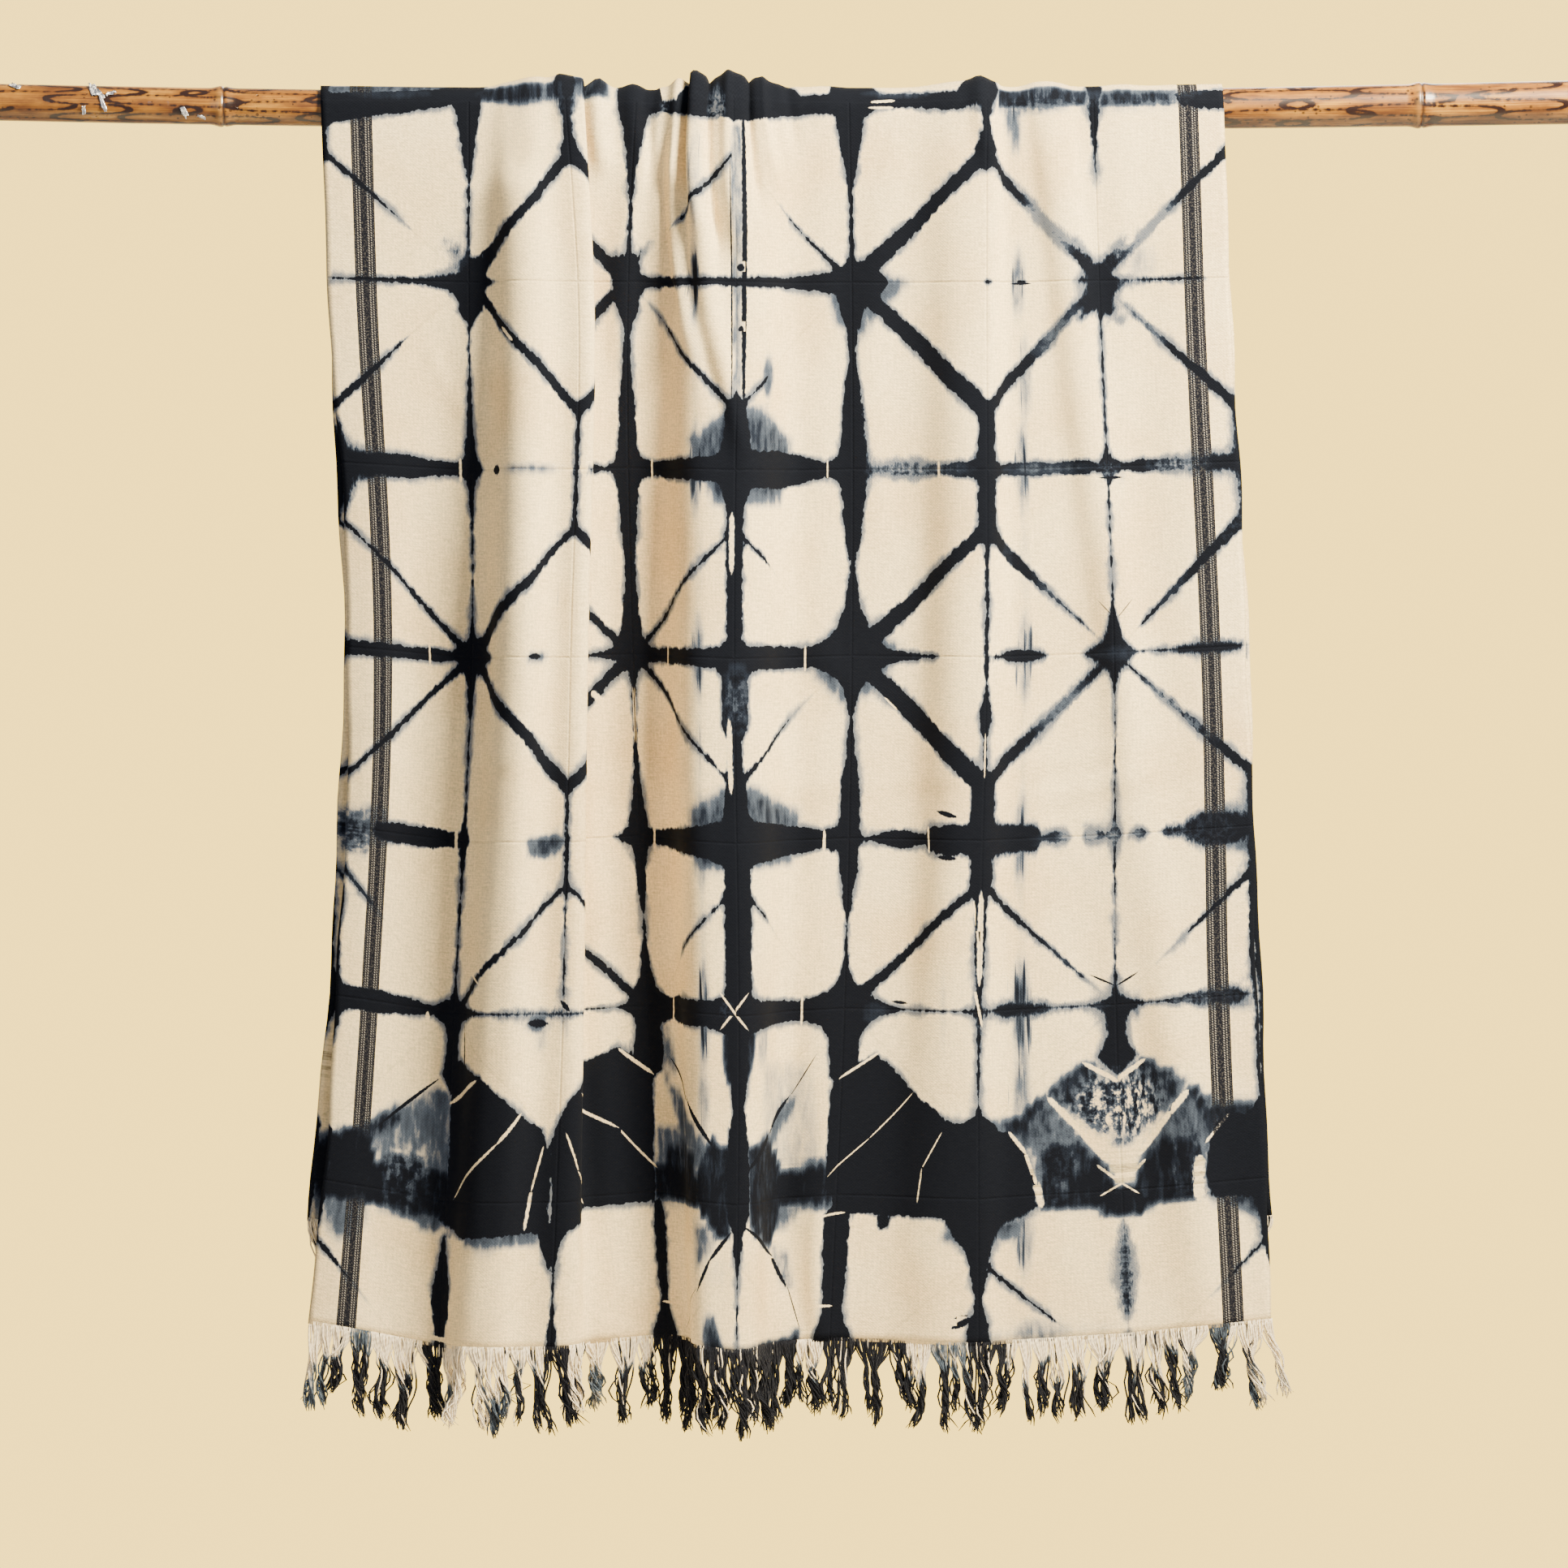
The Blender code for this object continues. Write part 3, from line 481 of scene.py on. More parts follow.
# Undyed ties and creases: from, to and half width
RESIST_TIES: tuple[tuple[float, float, float, float, float], ...] = (
    (183, 225, 194, 235, 1.9), (206, 254, 213, 262, 1.1), (201, 430, 208, 440, 1.1),
    (148, 558, 165, 568, 1.1), (197, 590, 207, 601, 1.2), (156, 790, 174, 801, 1.1),
    (373, 223, 383, 234, 1.2), (364, 549, 374, 559, 3.6), (124, 341, 124, 359, 1.6),
    (90, 505, 91, 523, 1.2), (126, 667, 127, 686, 1.9), (106, 832, 107, 845, 2.3),
    (431, 341, 431, 359, 1.3), (450, 506, 449, 525, 1.3), (422, 667, 421, 686, 1.3),
    (438, 819, 436, 840, 1.3), (627, 506, 627, 526, 1.3), (629, 816, 629, 840, 1.4),
    (649, 670, 649, 686, 1.6), (649, 342, 649, 356, 0.9), (707, 552, 718, 562, 0.9),
    (755, 666, 757, 688, 1.2), (762, 343, 762, 358, 1.4), (177, 887, 137, 907, 2.3),
    (227, 916, 203, 941, 1.9), (203, 941, 147, 991, 1.4), (255, 945, 244, 983, 1.3),
    (244, 983, 238, 1016, 2.3), (374, 865, 406, 888, 2.0), (295, 899, 368, 934, 1.7),
    (368, 934, 405, 972, 1.2), (277, 933, 292, 968, 1.2), (292, 968, 326, 998, 1.6),
    (673, 890, 709, 867, 1.4), (746, 901, 703, 943, 0.7), (703, 943, 664, 977, 0.7),
    (776, 935, 757, 968, 0.7), (757, 968, 753, 998, 0.9), (842, 937, 856, 955, 1.9),
    (856, 955, 866, 984, 1.7), (866, 984, 870, 1001, 3.6), (914, 879, 943, 895, 2.2),
    (943, 895, 970, 879, 2.2), (880, 909, 908, 938, 2.9), (908, 938, 931, 965, 2.9),
    (1010, 911, 994, 928, 2.9), (994, 928, 963, 961, 2.9), (1019, 973, 1017, 1003, 5.8),
    (1026, 957, 1048, 934, 1.4), (520, 809, 550, 840, 1.3), (550, 809, 520, 840, 1.3),
    (923, 970, 945, 987, 1.4), (945, 987, 967, 968, 1.4), (945, 987, 960, 997, 0.9),
    (945, 987, 925, 997, 0.9), (121, 1115, 162, 1117, 2.4), (403, 1091, 424, 1092, 1.3),
    (651, 1091, 675, 1092, 1.3), (803, 731, 810, 778, 1.2), (806, 809, 813, 840, 1.4),
    (534, 571, 535, 631, 3.2), (384, 745, 382, 770, 1.0), (396, 421, 395, 455, 1.0),
    (417, 421, 416, 455, 0.9), (707, 61, 725, 61, 0.1), (697, 24, 717, 23, 1.4),
    (694, 29, 716, 29, 1.2), (658, 1012, 683, 1009, 1.2), (537, 389, 537, 438, 3.2),
)
# Small dyed beads and dashes: from, to and half width
SMALL_MARKS: tuple[tuple[float, float, float, float, float], ...] = (
    (172, 350, 175, 350, 4.3), (220, 514, 231, 514, 2.9), (1, 961, 2, 961, 2.2),
    (545, 225, 545, 226, 2.9), (544, 171, 545, 171, 3.6), (845, 185, 864, 185, 1.1),
    (938, 359, 960, 359, 1.4), (269, 817, 275, 824, 2.2), (237, 836, 251, 836, 4.3),
    (767, 652, 783, 656, 2.2), (769, 692, 784, 693, 2.2), (789, 1107, 804, 1099, 2.9),
    (722, 821, 735, 822, 1.4), (930, 468, 948, 485, 0.4), (965, 468, 948, 485, 0.4),
    (791, 1099, 806, 1098, 2.2), (922, 801, 945, 811, 0.9), (966, 801, 946, 811, 0.9),
    (151, 843, 161, 932, 1.4), (120, 889, 51, 941, 1.7), (550, 0, 547, 328, 2.7),
    (535, 68, 535, 306, 0.9), (428, 872, 472, 909, 1.3), (473, 906, 511, 945, 2.4),
    (617, 905, 590, 934, 2.3), (593, 931, 550, 965, 3.3), (646, 868, 619, 904, 0.6),
    (531, 1019, 505, 1045, 2.0), (507, 1042, 490, 1071, 1.7), (549, 1014, 602, 1043, 2.2),
    (599, 1040, 623, 1072, 2.2), (623, 1069, 641, 1112, 0.6), (490, 1069, 433, 1112, 0.4),
)
# Undyed strands inside a column's line: column, from, to, offset to each side, half width
INNER_STRANDS: tuple[tuple[int, float, float, float, float], ...] = (
    (6, 583, 621, 0.0, 0.9),
    (6, 724, 803, 0.0, 3.2),
    (3, 544, 594, 0.9, 0.4),
)
# Soft blue-grey tints: across, down, half width, half height, strength
SOFT_TINTS: tuple[tuple[float, float, float, float, float], ...] = (
    (492, 25, 6, 20, 0.31), (495, 97, 6, 50, 0.22), (495, 184, 6, 37, 0.37),
    (497, 266, 5, 33, 0.12), (498, 349, 7, 41, 0.34), (502, 428, 6, 41, 0.12),
    (501, 515, 7, 40, 0.31), (501, 601, 5, 41, 0.12), (501, 677, 7, 41, 0.34),
    (501, 760, 5, 41, 0.12), (501, 828, 7, 50, 0.34), (500, 900, 7, 41, 0.25),
    (850, 47, 7, 24, 0.37), (852, 184, 7, 30, 0.34), (858, 270, 7, 37, 0.31),
    (854, 350, 7, 41, 0.34), (854, 436, 6, 41, 0.15), (854, 515, 7, 41, 0.31),
    (853, 598, 5, 41, 0.12), (852, 677, 7, 45, 0.34), (854, 760, 5, 41, 0.12),
    (854, 828, 9, 46, 0.37), (854, 900, 8, 46, 0.34), (854, 1033, 7, 33, 0.31),
    (776, 828, 4, 33, 0.15), (571, 850, 8, 28, 0.31), (846, 40, 7, 16, 0.45),
    (121, 155, 16, 14, 0.12), (927, 180, 12, 10, 0.3), (30, 666, 17, 13, 0.5),
    (17, 680, 13, 19, 0.7), (253, 680, 12, 10, 0.5), (218, 348, 32, 4, 0.35),
    (1012, 350, 10, 6, 0.4), (989, 169, 16, 19, 0.22), (735, 349, 19, 6, 0.4),
    (245, 836, 7, 6, 0.8), (248, 850, 6, 12, 0.25), (273, 828, 4, 22, 0.25),
    (922, 670, 10, 6, 0.4), (576, 267, 7, 17, 0.5), (558, 635, 9, 10, 0.5),
    (100, 990, 20, 19, 0.75), (26, 1026, 19, 19, 0.45), (12, 1012, 10, 9, 0.5),
    (87, 925, 24, 14, 0.25), (118, 1012, 14, 10, 0.6), (881, 940, 19, 16, 0.55),
    (916, 925, 22, 17, 0.25), (1016, 940, 10, 19, 0.4), (899, 990, 24, 13, 0.6),
    (990, 994, 24, 10, 0.6), (944, 1066, 7, 36, 0.25), (965, 832, 7, 13, 0.4),
    (853, 1026, 10, 22, 0.35), (847, 968, 10, 29, 0.25), (611, 1009, 19, 12, 0.5),
    (501, 968, 9, 22, 0.5), (586, 961, 9, 17, 0.35), (194, 1033, 14, 10, 0.2),
    (838, 1022, 14, 9, 0.6), (792, 1026, 16, 9, 0.5), (511, 1055, 22, 14, 0.1),
    (954, 925, 32, 24, 0.25), (952, 1012, 22, 6, 0.5), (505, 1112, 9, 19, 0.5),
    (592, 1127, 43, 7, 0.5), (909, 1116, 29, 10, 0.12), (866, 1116, 29, 13, 0.3),
    (1062, 673, 19, 17, 0.4), (1066, 832, 14, 10, 0.4), (956, 353, 10, 13, 0.2),
    (198, 1112, 14, 22, 0.05), (825, 1120, 12, 10, 0.2),
)
# Where the dye breaks up into speckles, in the same columns; the first two entries, in the gather at the
# pole's top, are partly painted highlight along the gather's folds
MOTTLED: tuple[tuple[float, float, float, float, float], ...] = (
    (519, 31, 11, 14, 0.75), (439, 28, 7, 6, 0.6), (527, 824, 9, 12, 0.4),
    (943, 918, 43, 32, 1.0), (546, 551, 19, 32, 0.35), (948, 353, 13, 10, 0.6),
    (1019, 350, 29, 10, 0.5), (922, 670, 36, 12, 0.6), (907, 292, 36, 29, 0.5),
    (90, 976, 29, 29, 0.5), (885, 623, 29, 29, 0.5), (1031, 677, 36, 19, 0.35),
    (721, 350, 32, 10, 0.5), (901, 824, 43, 14, 0.4), (1057, 392, 36, 29, 0.4),
    (1025, 580, 36, 29, 0.5), (1021, 828, 43, 14, 0.3), (944, 1069, 12, 43, 0.4),
    (884, 968, 22, 36, 0.3), (1007, 976, 22, 36, 0.2), (0, 680, 36, 29, 0.5),
    (21, 824, 43, 10, 0.2), (263, 24, 43, 10, 0.3), (891, 24, 65, 10, 0.35),
    (1007, 24, 43, 10, 0.3),
)
# Where the dye has run along the warp threads, in the same columns
COMBS: tuple[tuple[float, float, float, float, float], ...] = (
    (494, 184, 9, 26, 0.9), (495, 90, 10, 43, 0.55), (470, 17, 12, 14, 0.6),
    (496, 348, 9, 29, 0.9), (497, 270, 9, 29, 0.3), (500, 515, 9, 32, 0.8),
    (502, 436, 9, 36, 0.25), (501, 677, 9, 32, 0.8), (501, 828, 9, 43, 0.9),
    (501, 601, 7, 29, 0.3), (499, 940, 9, 58, 0.35), (849, 32, 10, 19, 0.7),
    (851, 104, 9, 43, 0.3), (854, 184, 9, 22, 0.6), (854, 270, 9, 50, 0.3),
    (854, 350, 10, 33, 0.8), (854, 436, 9, 43, 0.3), (854, 515, 10, 33, 0.8),
    (853, 594, 9, 36, 0.25), (852, 677, 10, 36, 0.8), (854, 828, 12, 43, 1.0),
    (854, 904, 10, 36, 0.6), (854, 1033, 10, 29, 0.7), (775, 828, 7, 29, 0.25),
    (855, 1112, 9, 17, 0.4), (946, 1012, 6, 29, 0.3), (571, 839, 22, 17, 0.4),
    (554, 868, 10, 43, 0.4), (511, 1112, 7, 22, 0.5), (944, 54, 6, 14, 0.2),
)
# Where the dye is thin and washed, in the same columns; the first entry, in the gather at the pole's top, is
# partly painted highlight along the gather's folds
THIN_DYE: tuple[tuple[float, float, float, float, float], ...] = (
    (516, 32, 9, 16, 0.45), (465, 20, 9, 9, 0.3), (563, 0, 7, 4, 0.4),
    (889, 130, 29, 35, 0.95), (996, 133, 32, 37, 0.95), (897, 234, 32, 32, 0.65),
    (983, 234, 29, 29, 0.7), (964, 169, 22, 14, 0.2), (746, 349, 50, 12, 0.55),
    (880, 350, 50, 10, 0.55), (1019, 350, 29, 10, 0.5), (199, 17, 50, 10, 0.65),
    (891, 17, 55, 9, 0.6), (1008, 15, 58, 7, 0.5), (724, 15, 36, 6, 0.5),
    (897, 568, 32, 29, 0.7), (984, 568, 32, 32, 0.7), (934, 679, 65, 12, 0.65),
    (902, 450, 36, 29, 0.6), (988, 446, 32, 29, 0.6), (1028, 830, 36, 10, 0.3),
    (960, 515, 36, 9, 0.4), (747, 508, 29, 12, 0.3), (121, 159, 16, 16, 0.4),
    (540, 551, 14, 36, 0.25), (539, 335, 22, 22, 0.1), (62, 17, 43, 7, 0.35),
    (706, 832, 14, 12, 0.4), (941, 1055, 14, 36, 0.3), (919, 767, 43, 36, 0.5),
    (24, 731, 22, 22, 0.4), (491, 918, 29, 43, 0.3), (630, 918, 29, 43, 0.3),
    (835, 436, 9, 36, 0.3),
)
# Where the dye's edge is soft, in the same columns
SOFT_EDGES: tuple[tuple[float, float, float, float, float], ...] = (
    (0, 350, 43, 36, 1.0), (0, 680, 43, 36, 1.0), (1060, 350, 43, 43, 0.7),
    (957, 191, 43, 43, 0.5), (946, 832, 43, 29, 0.4), (942, 940, 79, 65, 1.0),
    (909, 515, 43, 36, 0.5), (1047, 677, 50, 36, 0.8), (1043, 522, 43, 29, 0.7),
    (90, 976, 65, 50, 1.0), (944, 1069, 22, 58, 1.0), (1050, 1012, 29, 43, 0.7),
    (1051, 832, 29, 29, 0.8), (263, 25, 43, 14, 0.8), (891, 25, 79, 14, 0.8),
    (854, 677, 43, 36, 0.5), (721, 350, 43, 22, 0.7), (245, 832, 43, 22, 0.8),
    (856, 832, 43, 43, 0.8), (838, 1019, 43, 22, 0.6), (909, 292, 43, 43, 0.5),
    (885, 608, 43, 43, 0.6), (914, 112, 58, 43, 0.8), (113, 162, 22, 22, 0.8),
)


def new_tree(name: str) -> tuple[bpy.types.Material, bpy.types.NodeTree]:
    """Return a new material and its emptied node tree."""
    material = bpy.data.materials.new(name)
    material.use_nodes = True
    material.node_tree.nodes.clear()
    return material, material.node_tree


@dataclass(frozen=True)
class ResistDyedCotton:
    """Hand-woven, hand-spun cotton, folded, tied and dipped in a blue-black vat.

    The eye sees a matt, slightly pebbled cream weave, a dense blue-black dye with a ragged
    edge that follows the threads, a grey-blue halo where the bath crept in, and crisp
    undyed ties and creases.
    """

    name: str = "cotton_plain_weave_resist_dyed"
    cream: str = "F7E0AC"
    cream_aged: str = "ECD09A"
    stripe_dark: str = "14161D"
    stripe_light: str = "D9D2C4"
    dye_thin: str = "9DA6AE"
    dye_half: str = "454E5B"
    dye_full: str = "1A202B"
    dye_deep: str = "0D1017"
    # Thread spacing across and down: 1.7 and 1.25 mm, about twice the real threads, which
    # are too fine to show
    warp_pitch: float = 1.7 * MM
    weft_pitch: float = 1.25 * MM
    weave_height: float = 0.35 * MM

    def build(self) -> bpy.types.Material:
        """Make the material.

        Returns:
            The finished cotton.
        """
        material, tree = new_tree(self.name)
        flat = add_node(tree, "ShaderNodeUVMap", uv_map="flat")
        mirror = add_node(tree, "ShaderNodeUVMap", uv_map="mirror")
        weave = self.weave(tree, flat)
        ink = self.ink(tree, flat, mirror)
        cloth = self.ground(tree, flat, mirror)
        strength = add_node(tree, RANGE, {"Value": ink, "From Max": 0.34}, interpolation_type="SMOOTHSTEP")
        dye = add_node(
            tree, RAMP, (ink,),
            stops=((0.0, self.dye_thin), (0.36, self.dye_half), (0.62, self.dye_full), (0.85, self.dye_deep)),
        )
        # Painted highlight: the dye is lighter on the weave's raised threads and darker between them.
        painted_weave_highlight = add_node(tree, RANGE, {"Value": weave, "To Min": 0.72, "To Max": 1.35})
        dye = add_node(tree, VECTOR, {0: dye, "Scale": painted_weave_highlight}, operation="SCALE")
        colour = add_node(tree, MIX, {0: strength, 6: cloth, 7: dye}, output=2, data_type="RGBA")
        colour = add_node(tree, VECTOR, (colour, cloth), operation="MINIMUM")
        height = self.creases(tree, mirror, weave)
        bump = add_node(
            tree, "ShaderNodeBump", {"Height": height, "Distance": self.weave_height, "Strength": 0.85}
        )
        roughness = add_node(tree, RANGE, {"Value": weave, "To Min": 0.96, "To Max": 0.84})
        surface = add_node(
            tree, "ShaderNodeBsdfPrincipled",
            {
                "Base Color": colour, "Roughness": roughness, "Normal": bump, "IOR": 1.5,
                "Specular IOR Level": 0.06, "Sheen Weight": 0.01, "Sheen Roughness": 0.5,
            },
        )
        add_node(tree, "ShaderNodeOutputMaterial", (surface,))
        return material

    def weave(self, tree: bpy.types.NodeTree, flat: bpy.types.NodeSocket) -> bpy.types.NodeSocket:
        """Draw the plain weave with its uneven, hand-spun threads.

        Args:
            tree: node tree of the cotton.
            flat: flat place on the cloth in metres.

        Returns:
            The weave's height from 0 to 1.
        """
        drift = add_node(
            tree, NOISE, {"Vector": flat, "Scale": 190.0, "Detail": 2.0}, noise_dimensions="2D"
        )
        parts = add_node(tree, "ShaderNodeSeparateXYZ", (flat,))
        waves = []
        for socket, pitch in ((parts, self.warp_pitch), (parts.node.outputs[1], self.weft_pitch)):
            turns = add_node(tree, MATH, (socket, math.pi / pitch), operation="MULTIPLY")
            turns = add_node(tree, MATH, (drift, 5.0, turns), operation="MULTIPLY_ADD")
            waves.append(add_node(tree, MATH, (turns,), operation="SINE"))
        cells = add_node(tree, MATH, (waves[0], waves[1]), operation="MULTIPLY")
        cells = add_node(tree, RANGE, {"Value": cells, "From Min": -1.0})
        slubs = add_node(tree, VECTOR, (flat, (110.0, 620.0, 1.0)), operation="MULTIPLY")
        slubs = add_node(tree, NOISE, {"Vector": slubs, "Scale": 1.0, "Detail": 3.0}, noise_dimensions="2D")
        return add_node(tree, MIX, {0: 0.55, 2: cells, 3: slubs})

    def ink(
        self, tree: bpy.types.NodeTree, flat: bpy.types.NodeSocket, mirror: bpy.types.NodeSocket
    ) -> bpy.types.NodeSocket:
        """Turn the charted distances into dye.

        Args:
            tree: node tree of the cotton.
            flat: flat place on the cloth in metres.
            mirror: the same folded on the cloth's creases, so both sides of a fold match.

        Returns:
            The amount of dye from 0 to 1.
        """
        line = add_node(tree, "ShaderNodeAttribute", output="Vector", attribute_name="dye_line")
        line = add_node(tree, "ShaderNodeSeparateXYZ", (line,))
        edge, soft, comb = line, line.node.outputs[1], line.node.outputs[2]
        tone = add_node(tree, "ShaderNodeAttribute", output="Vector", attribute_name="dye_tone")
        tone = add_node(tree, "ShaderNodeSeparateXYZ", (tone,))
        tint, speckle, thin = tone, tone.node.outputs[1], tone.node.outputs[2]
        slant = add_node(tree, "ShaderNodeUVMap", uv_map="slant")
        slant = add_node(tree, "ShaderNodeSeparateXYZ", (slant,))
        slant_far = add_node(tree, MATH, (slant,), operation="ABSOLUTE")
        slant_far = add_node(tree, MATH, (slant_far, slant.node.outputs[1]), operation="SUBTRACT")
        reach = add_node(tree, MATH, (edge, slant_far, 9.0), operation="SMOOTH_MIN")

        # The bath's ragged front: slow waver, thread-wide teeth and runs along the warp
        drift = add_node(tree, VECTOR, (flat, (0.35, 0.35, 0.0), mirror), operation="MULTIPLY_ADD")
        waver = add_node(tree, NOISE, {"Vector": drift, "Scale": 62.0, "Detail": 3.0, "Roughness": 0.55})
        teeth = add_node(tree, VECTOR, (flat, (640.0, 210.0, 0.0)), operation="MULTIPLY")
        teeth = add_node(tree, NOISE, {"Vector": teeth, "Scale": 1.0, "Detail": 2.0}, noise_dimensions="2D")
        bite = add_node(
            tree, RANGE, {"Value": reach, "From Min": -9.0, "From Max": 1.0, "To Min": 9.0, "To Max": 4.0}
        )
        waver = add_node(tree, MATH, (waver, 0.5), operation="SUBTRACT")
        reach = add_node(tree, MATH, (waver, bite, reach), operation="MULTIPLY_ADD")
        steps = add_node(tree, VECTOR, (flat, (190.0, 95.0, 0.0)), operation="MULTIPLY")
        steps = add_node(tree, NOISE, {"Vector": steps, "Scale": 1.0, "Detail": 1.0}, noise_dimensions="2D")
        steps = add_node(tree, MATH, (steps, 0.5), operation="SUBTRACT")
        reach = add_node(tree, MATH, (steps, 3.6, reach), operation="MULTIPLY_ADD")
        roam = add_node(tree, RANGE, {"Value": soft, "To Min": 2.0, "To Max": 7.0})
        off = add_node(tree, MATH, (teeth, 0.5), operation="SUBTRACT")
        reach = add_node(tree, MATH, (off, roam, reach), operation="MULTIPLY_ADD")
        half = add_node(tree, RANGE, {"Value": soft, "To Min": 0.7, "To Max": 5.0})
        less = add_node(tree, MATH, (half, -1.0), operation="MULTIPLY")
        core = add_node(
            tree, RANGE, {"Value": reach, "From Min": less, "From Max": half, "To Min": 1.0, "To Max": 0.0},
            interpolation_type="SMOOTHSTEP",
        )
        creep = add_node(tree, NOISE, {"Vector": drift, "Scale": 21.0, "Detail": 2.0})
        creep = add_node(
            tree, RANGE, {"Value": creep, "From Min": 0.38, "From Max": 0.68, "To Min": 2.2, "To Max": 12.0}
        )
        wide = add_node(tree, MATH, (soft, 9.0, creep), operation="MULTIPLY_ADD")
        halo = add_node(
            tree, RANGE, {"Value": reach, "From Max": wide, "To Min": 0.30, "To Max": 0.0},
            interpolation_type="SMOOTHERSTEP",
        )

        # Speckles break the dye where the folds were bound loosely
        clouds = add_node(tree, NOISE, {"Vector": drift, "Scale": 150.0, "Detail": 5.0, "Roughness": 0.65})
        holes = add_node(tree, RANGE, {"Value": clouds, "From Min": 0.40, "From Max": 0.58})
        holes = add_node(tree, MATH, (holes, speckle), operation="MULTIPLY")
        kept = add_node(tree, MATH, (1.0, holes), operation="SUBTRACT")
        core = add_node(tree, MATH, (core, kept), operation="MULTIPLY")
        washed = add_node(
            tree, RANGE, {"Value": clouds, "From Min": 0.3, "From Max": 0.7, "To Min": 0.5, "To Max": 1.15}
        )
        washed = add_node(tree, MATH, (washed, thin), operation="MULTIPLY")
        washed = add_node(tree, MATH, (1.0, washed), operation="SUBTRACT", use_clamp=True)
        core = add_node(tree, MATH, (core, washed), operation="MULTIPLY")

        # Combs: dye drawn out along single warp threads
        runs = add_node(tree, VECTOR, (flat, (210.0, 10.0, 0.0)), operation="MULTIPLY")
        runs = add_node(tree, NOISE, {"Vector": runs, "Scale": 1.0, "Detail": 3.0}, noise_dimensions="2D")
        gap = add_node(tree, RANGE, {"Value": comb, "To Min": 0.78, "To Max": 0.31})
        over = add_node(tree, MATH, (runs, gap), operation="SUBTRACT")
        runs = add_node(tree, RANGE, {"Value": over, "From Max": 0.30, "To Max": 0.85})

        bath = add_node(tree, VECTOR, (flat, (120.0, 34.0, 0.0)), operation="MULTIPLY")
        bath = add_node(
            tree, NOISE, {"Vector": bath, "Scale": 1.0, "Detail": 4.0, "Roughness": 0.6},
            noise_dimensions="2D"
        )
        cloud = add_node(
            tree, RANGE, {"Value": bath, "From Min": 0.3, "From Max": 0.7, "To Min": 0.62, "To Max": 1.15}
        )
        tint = add_node(tree, MATH, (tint, cloud), operation="MULTIPLY")
        tint = add_node(tree, MATH, (tint, kept), operation="MULTIPLY")
        ink = add_node(tree, MATH, (core, halo), operation="MAXIMUM")
        ink = add_node(tree, MATH, (ink, runs), operation="MAXIMUM")
        ink = add_node(tree, MATH, (ink, tint, 0.15), operation="SMOOTH_MAX")
        mark = self.stroke(tree, "marks", teeth, 2.2)
        ink = add_node(tree, MATH, (ink, mark), operation="MAXIMUM")
        tie = self.stroke(tree, "resist", teeth, 7.0)
        tie = add_node(tree, MATH, (tie, -0.94, 1.0), operation="MULTIPLY_ADD")
        return add_node(tree, MATH, (ink, tie), operation="MULTIPLY", use_clamp=True)

    def stroke(
        self, tree: bpy.types.NodeTree, layer: str, teeth: bpy.types.NodeSocket, ends: float
    ) -> bpy.types.NodeSocket:
        """Draw the short straight strokes whose own place each face holds.

        Args:
            tree: node tree of the cotton.
            layer: UV layer with the place across and along a stroke, in its half sizes.
            teeth: thread-wide noise that frays the stroke.
            ends: how square the ends are.

        Returns:
            The stroke's strength from 0 to 1.
        """
        place = add_node(tree, "ShaderNodeUVMap", uv_map=layer)
        place = add_node(tree, VECTOR, (place,), operation="ABSOLUTE")
        parts = add_node(tree, "ShaderNodeSeparateXYZ", (place,))
        frayed = add_node(tree, MATH, (teeth, 0.9, parts), operation="MULTIPLY_ADD")
        taper = add_node(tree, MATH, (parts.node.outputs[1], ends), operation="POWER")
        frayed = add_node(tree, MATH, (taper, 0.9, frayed), operation="MULTIPLY_ADD")
        return add_node(
            tree, RANGE, {"Value": frayed, "From Min": 1.05, "From Max": 1.75, "To Min": 1.0, "To Max": 0.0},
            interpolation_type="SMOOTHSTEP",
        )

    def ground(
        self, tree: bpy.types.NodeTree, flat: bpy.types.NodeSocket, mirror: bpy.types.NodeSocket
    ) -> bpy.types.NodeSocket:
        """Colour the undyed cloth with its woven stripes and the painted shade in its creases.

        Args:
            tree: node tree of the cotton.
            flat: flat place on the cloth in metres.
            mirror: the same folded on the creases.

        Returns:
            The colour.
        """
        parts = add_node(tree, "ShaderNodeSeparateXYZ", (flat,))
        across, down = parts, parts.node.outputs[1]
        age = add_node(tree, NOISE, {"Vector": flat, "Scale": 9.0, "Detail": 6.0}, noise_dimensions="2D")
        age = add_node(tree, RANGE, {"Value": age, "From Min": 0.42, "From Max": 0.75})
        cotton = add_node(
            tree, MIX, {0: age, 6: linear(self.cream), 7: linear(self.cream_aged)}, output=2, data_type="RGBA"
        )
        yarns = add_node(tree, VECTOR, (flat, (70.0, 900.0, 0.0)), operation="MULTIPLY")
        yarns = add_node(tree, NOISE, {"Vector": yarns, "Scale": 1.0, "Detail": 2.0}, noise_dimensions="2D")
        yarns = add_node(
            tree, RANGE, {"Value": yarns, "From Min": 0.3, "From Max": 0.7, "To Min": 0.86, "To Max": 1.06}
        )
        slubs = add_node(tree, VECTOR, (flat, (520.0, 36.0, 0.0)), operation="MULTIPLY")
        slubs = add_node(tree, NOISE, {"Vector": slubs, "Scale": 1.0, "Detail": 3.0}, noise_dimensions="2D")
        slubs = add_node(
            tree, RANGE, {"Value": slubs, "From Min": 0.3, "From Max": 0.7, "To Min": 0.93, "To Max": 1.05}
        )
        pebbles = add_node(
            tree, NOISE, {"Vector": flat, "Scale": 420.0, "Detail": 2.0}, noise_dimensions="2D"
        )
        pebbles = add_node(
            tree, RANGE, {"Value": pebbles, "From Min": 0.3, "From Max": 0.7, "To Min": 0.85, "To Max": 1.08}
        )
        slubs = add_node(tree, MATH, (slubs, pebbles), operation="MULTIPLY")
        cotton = add_node(tree, VECTOR, {0: cotton, "Scale": slubs}, operation="SCALE")
        cotton = add_node(tree, VECTOR, {0: cotton, "Scale": yarns}, operation="SCALE")

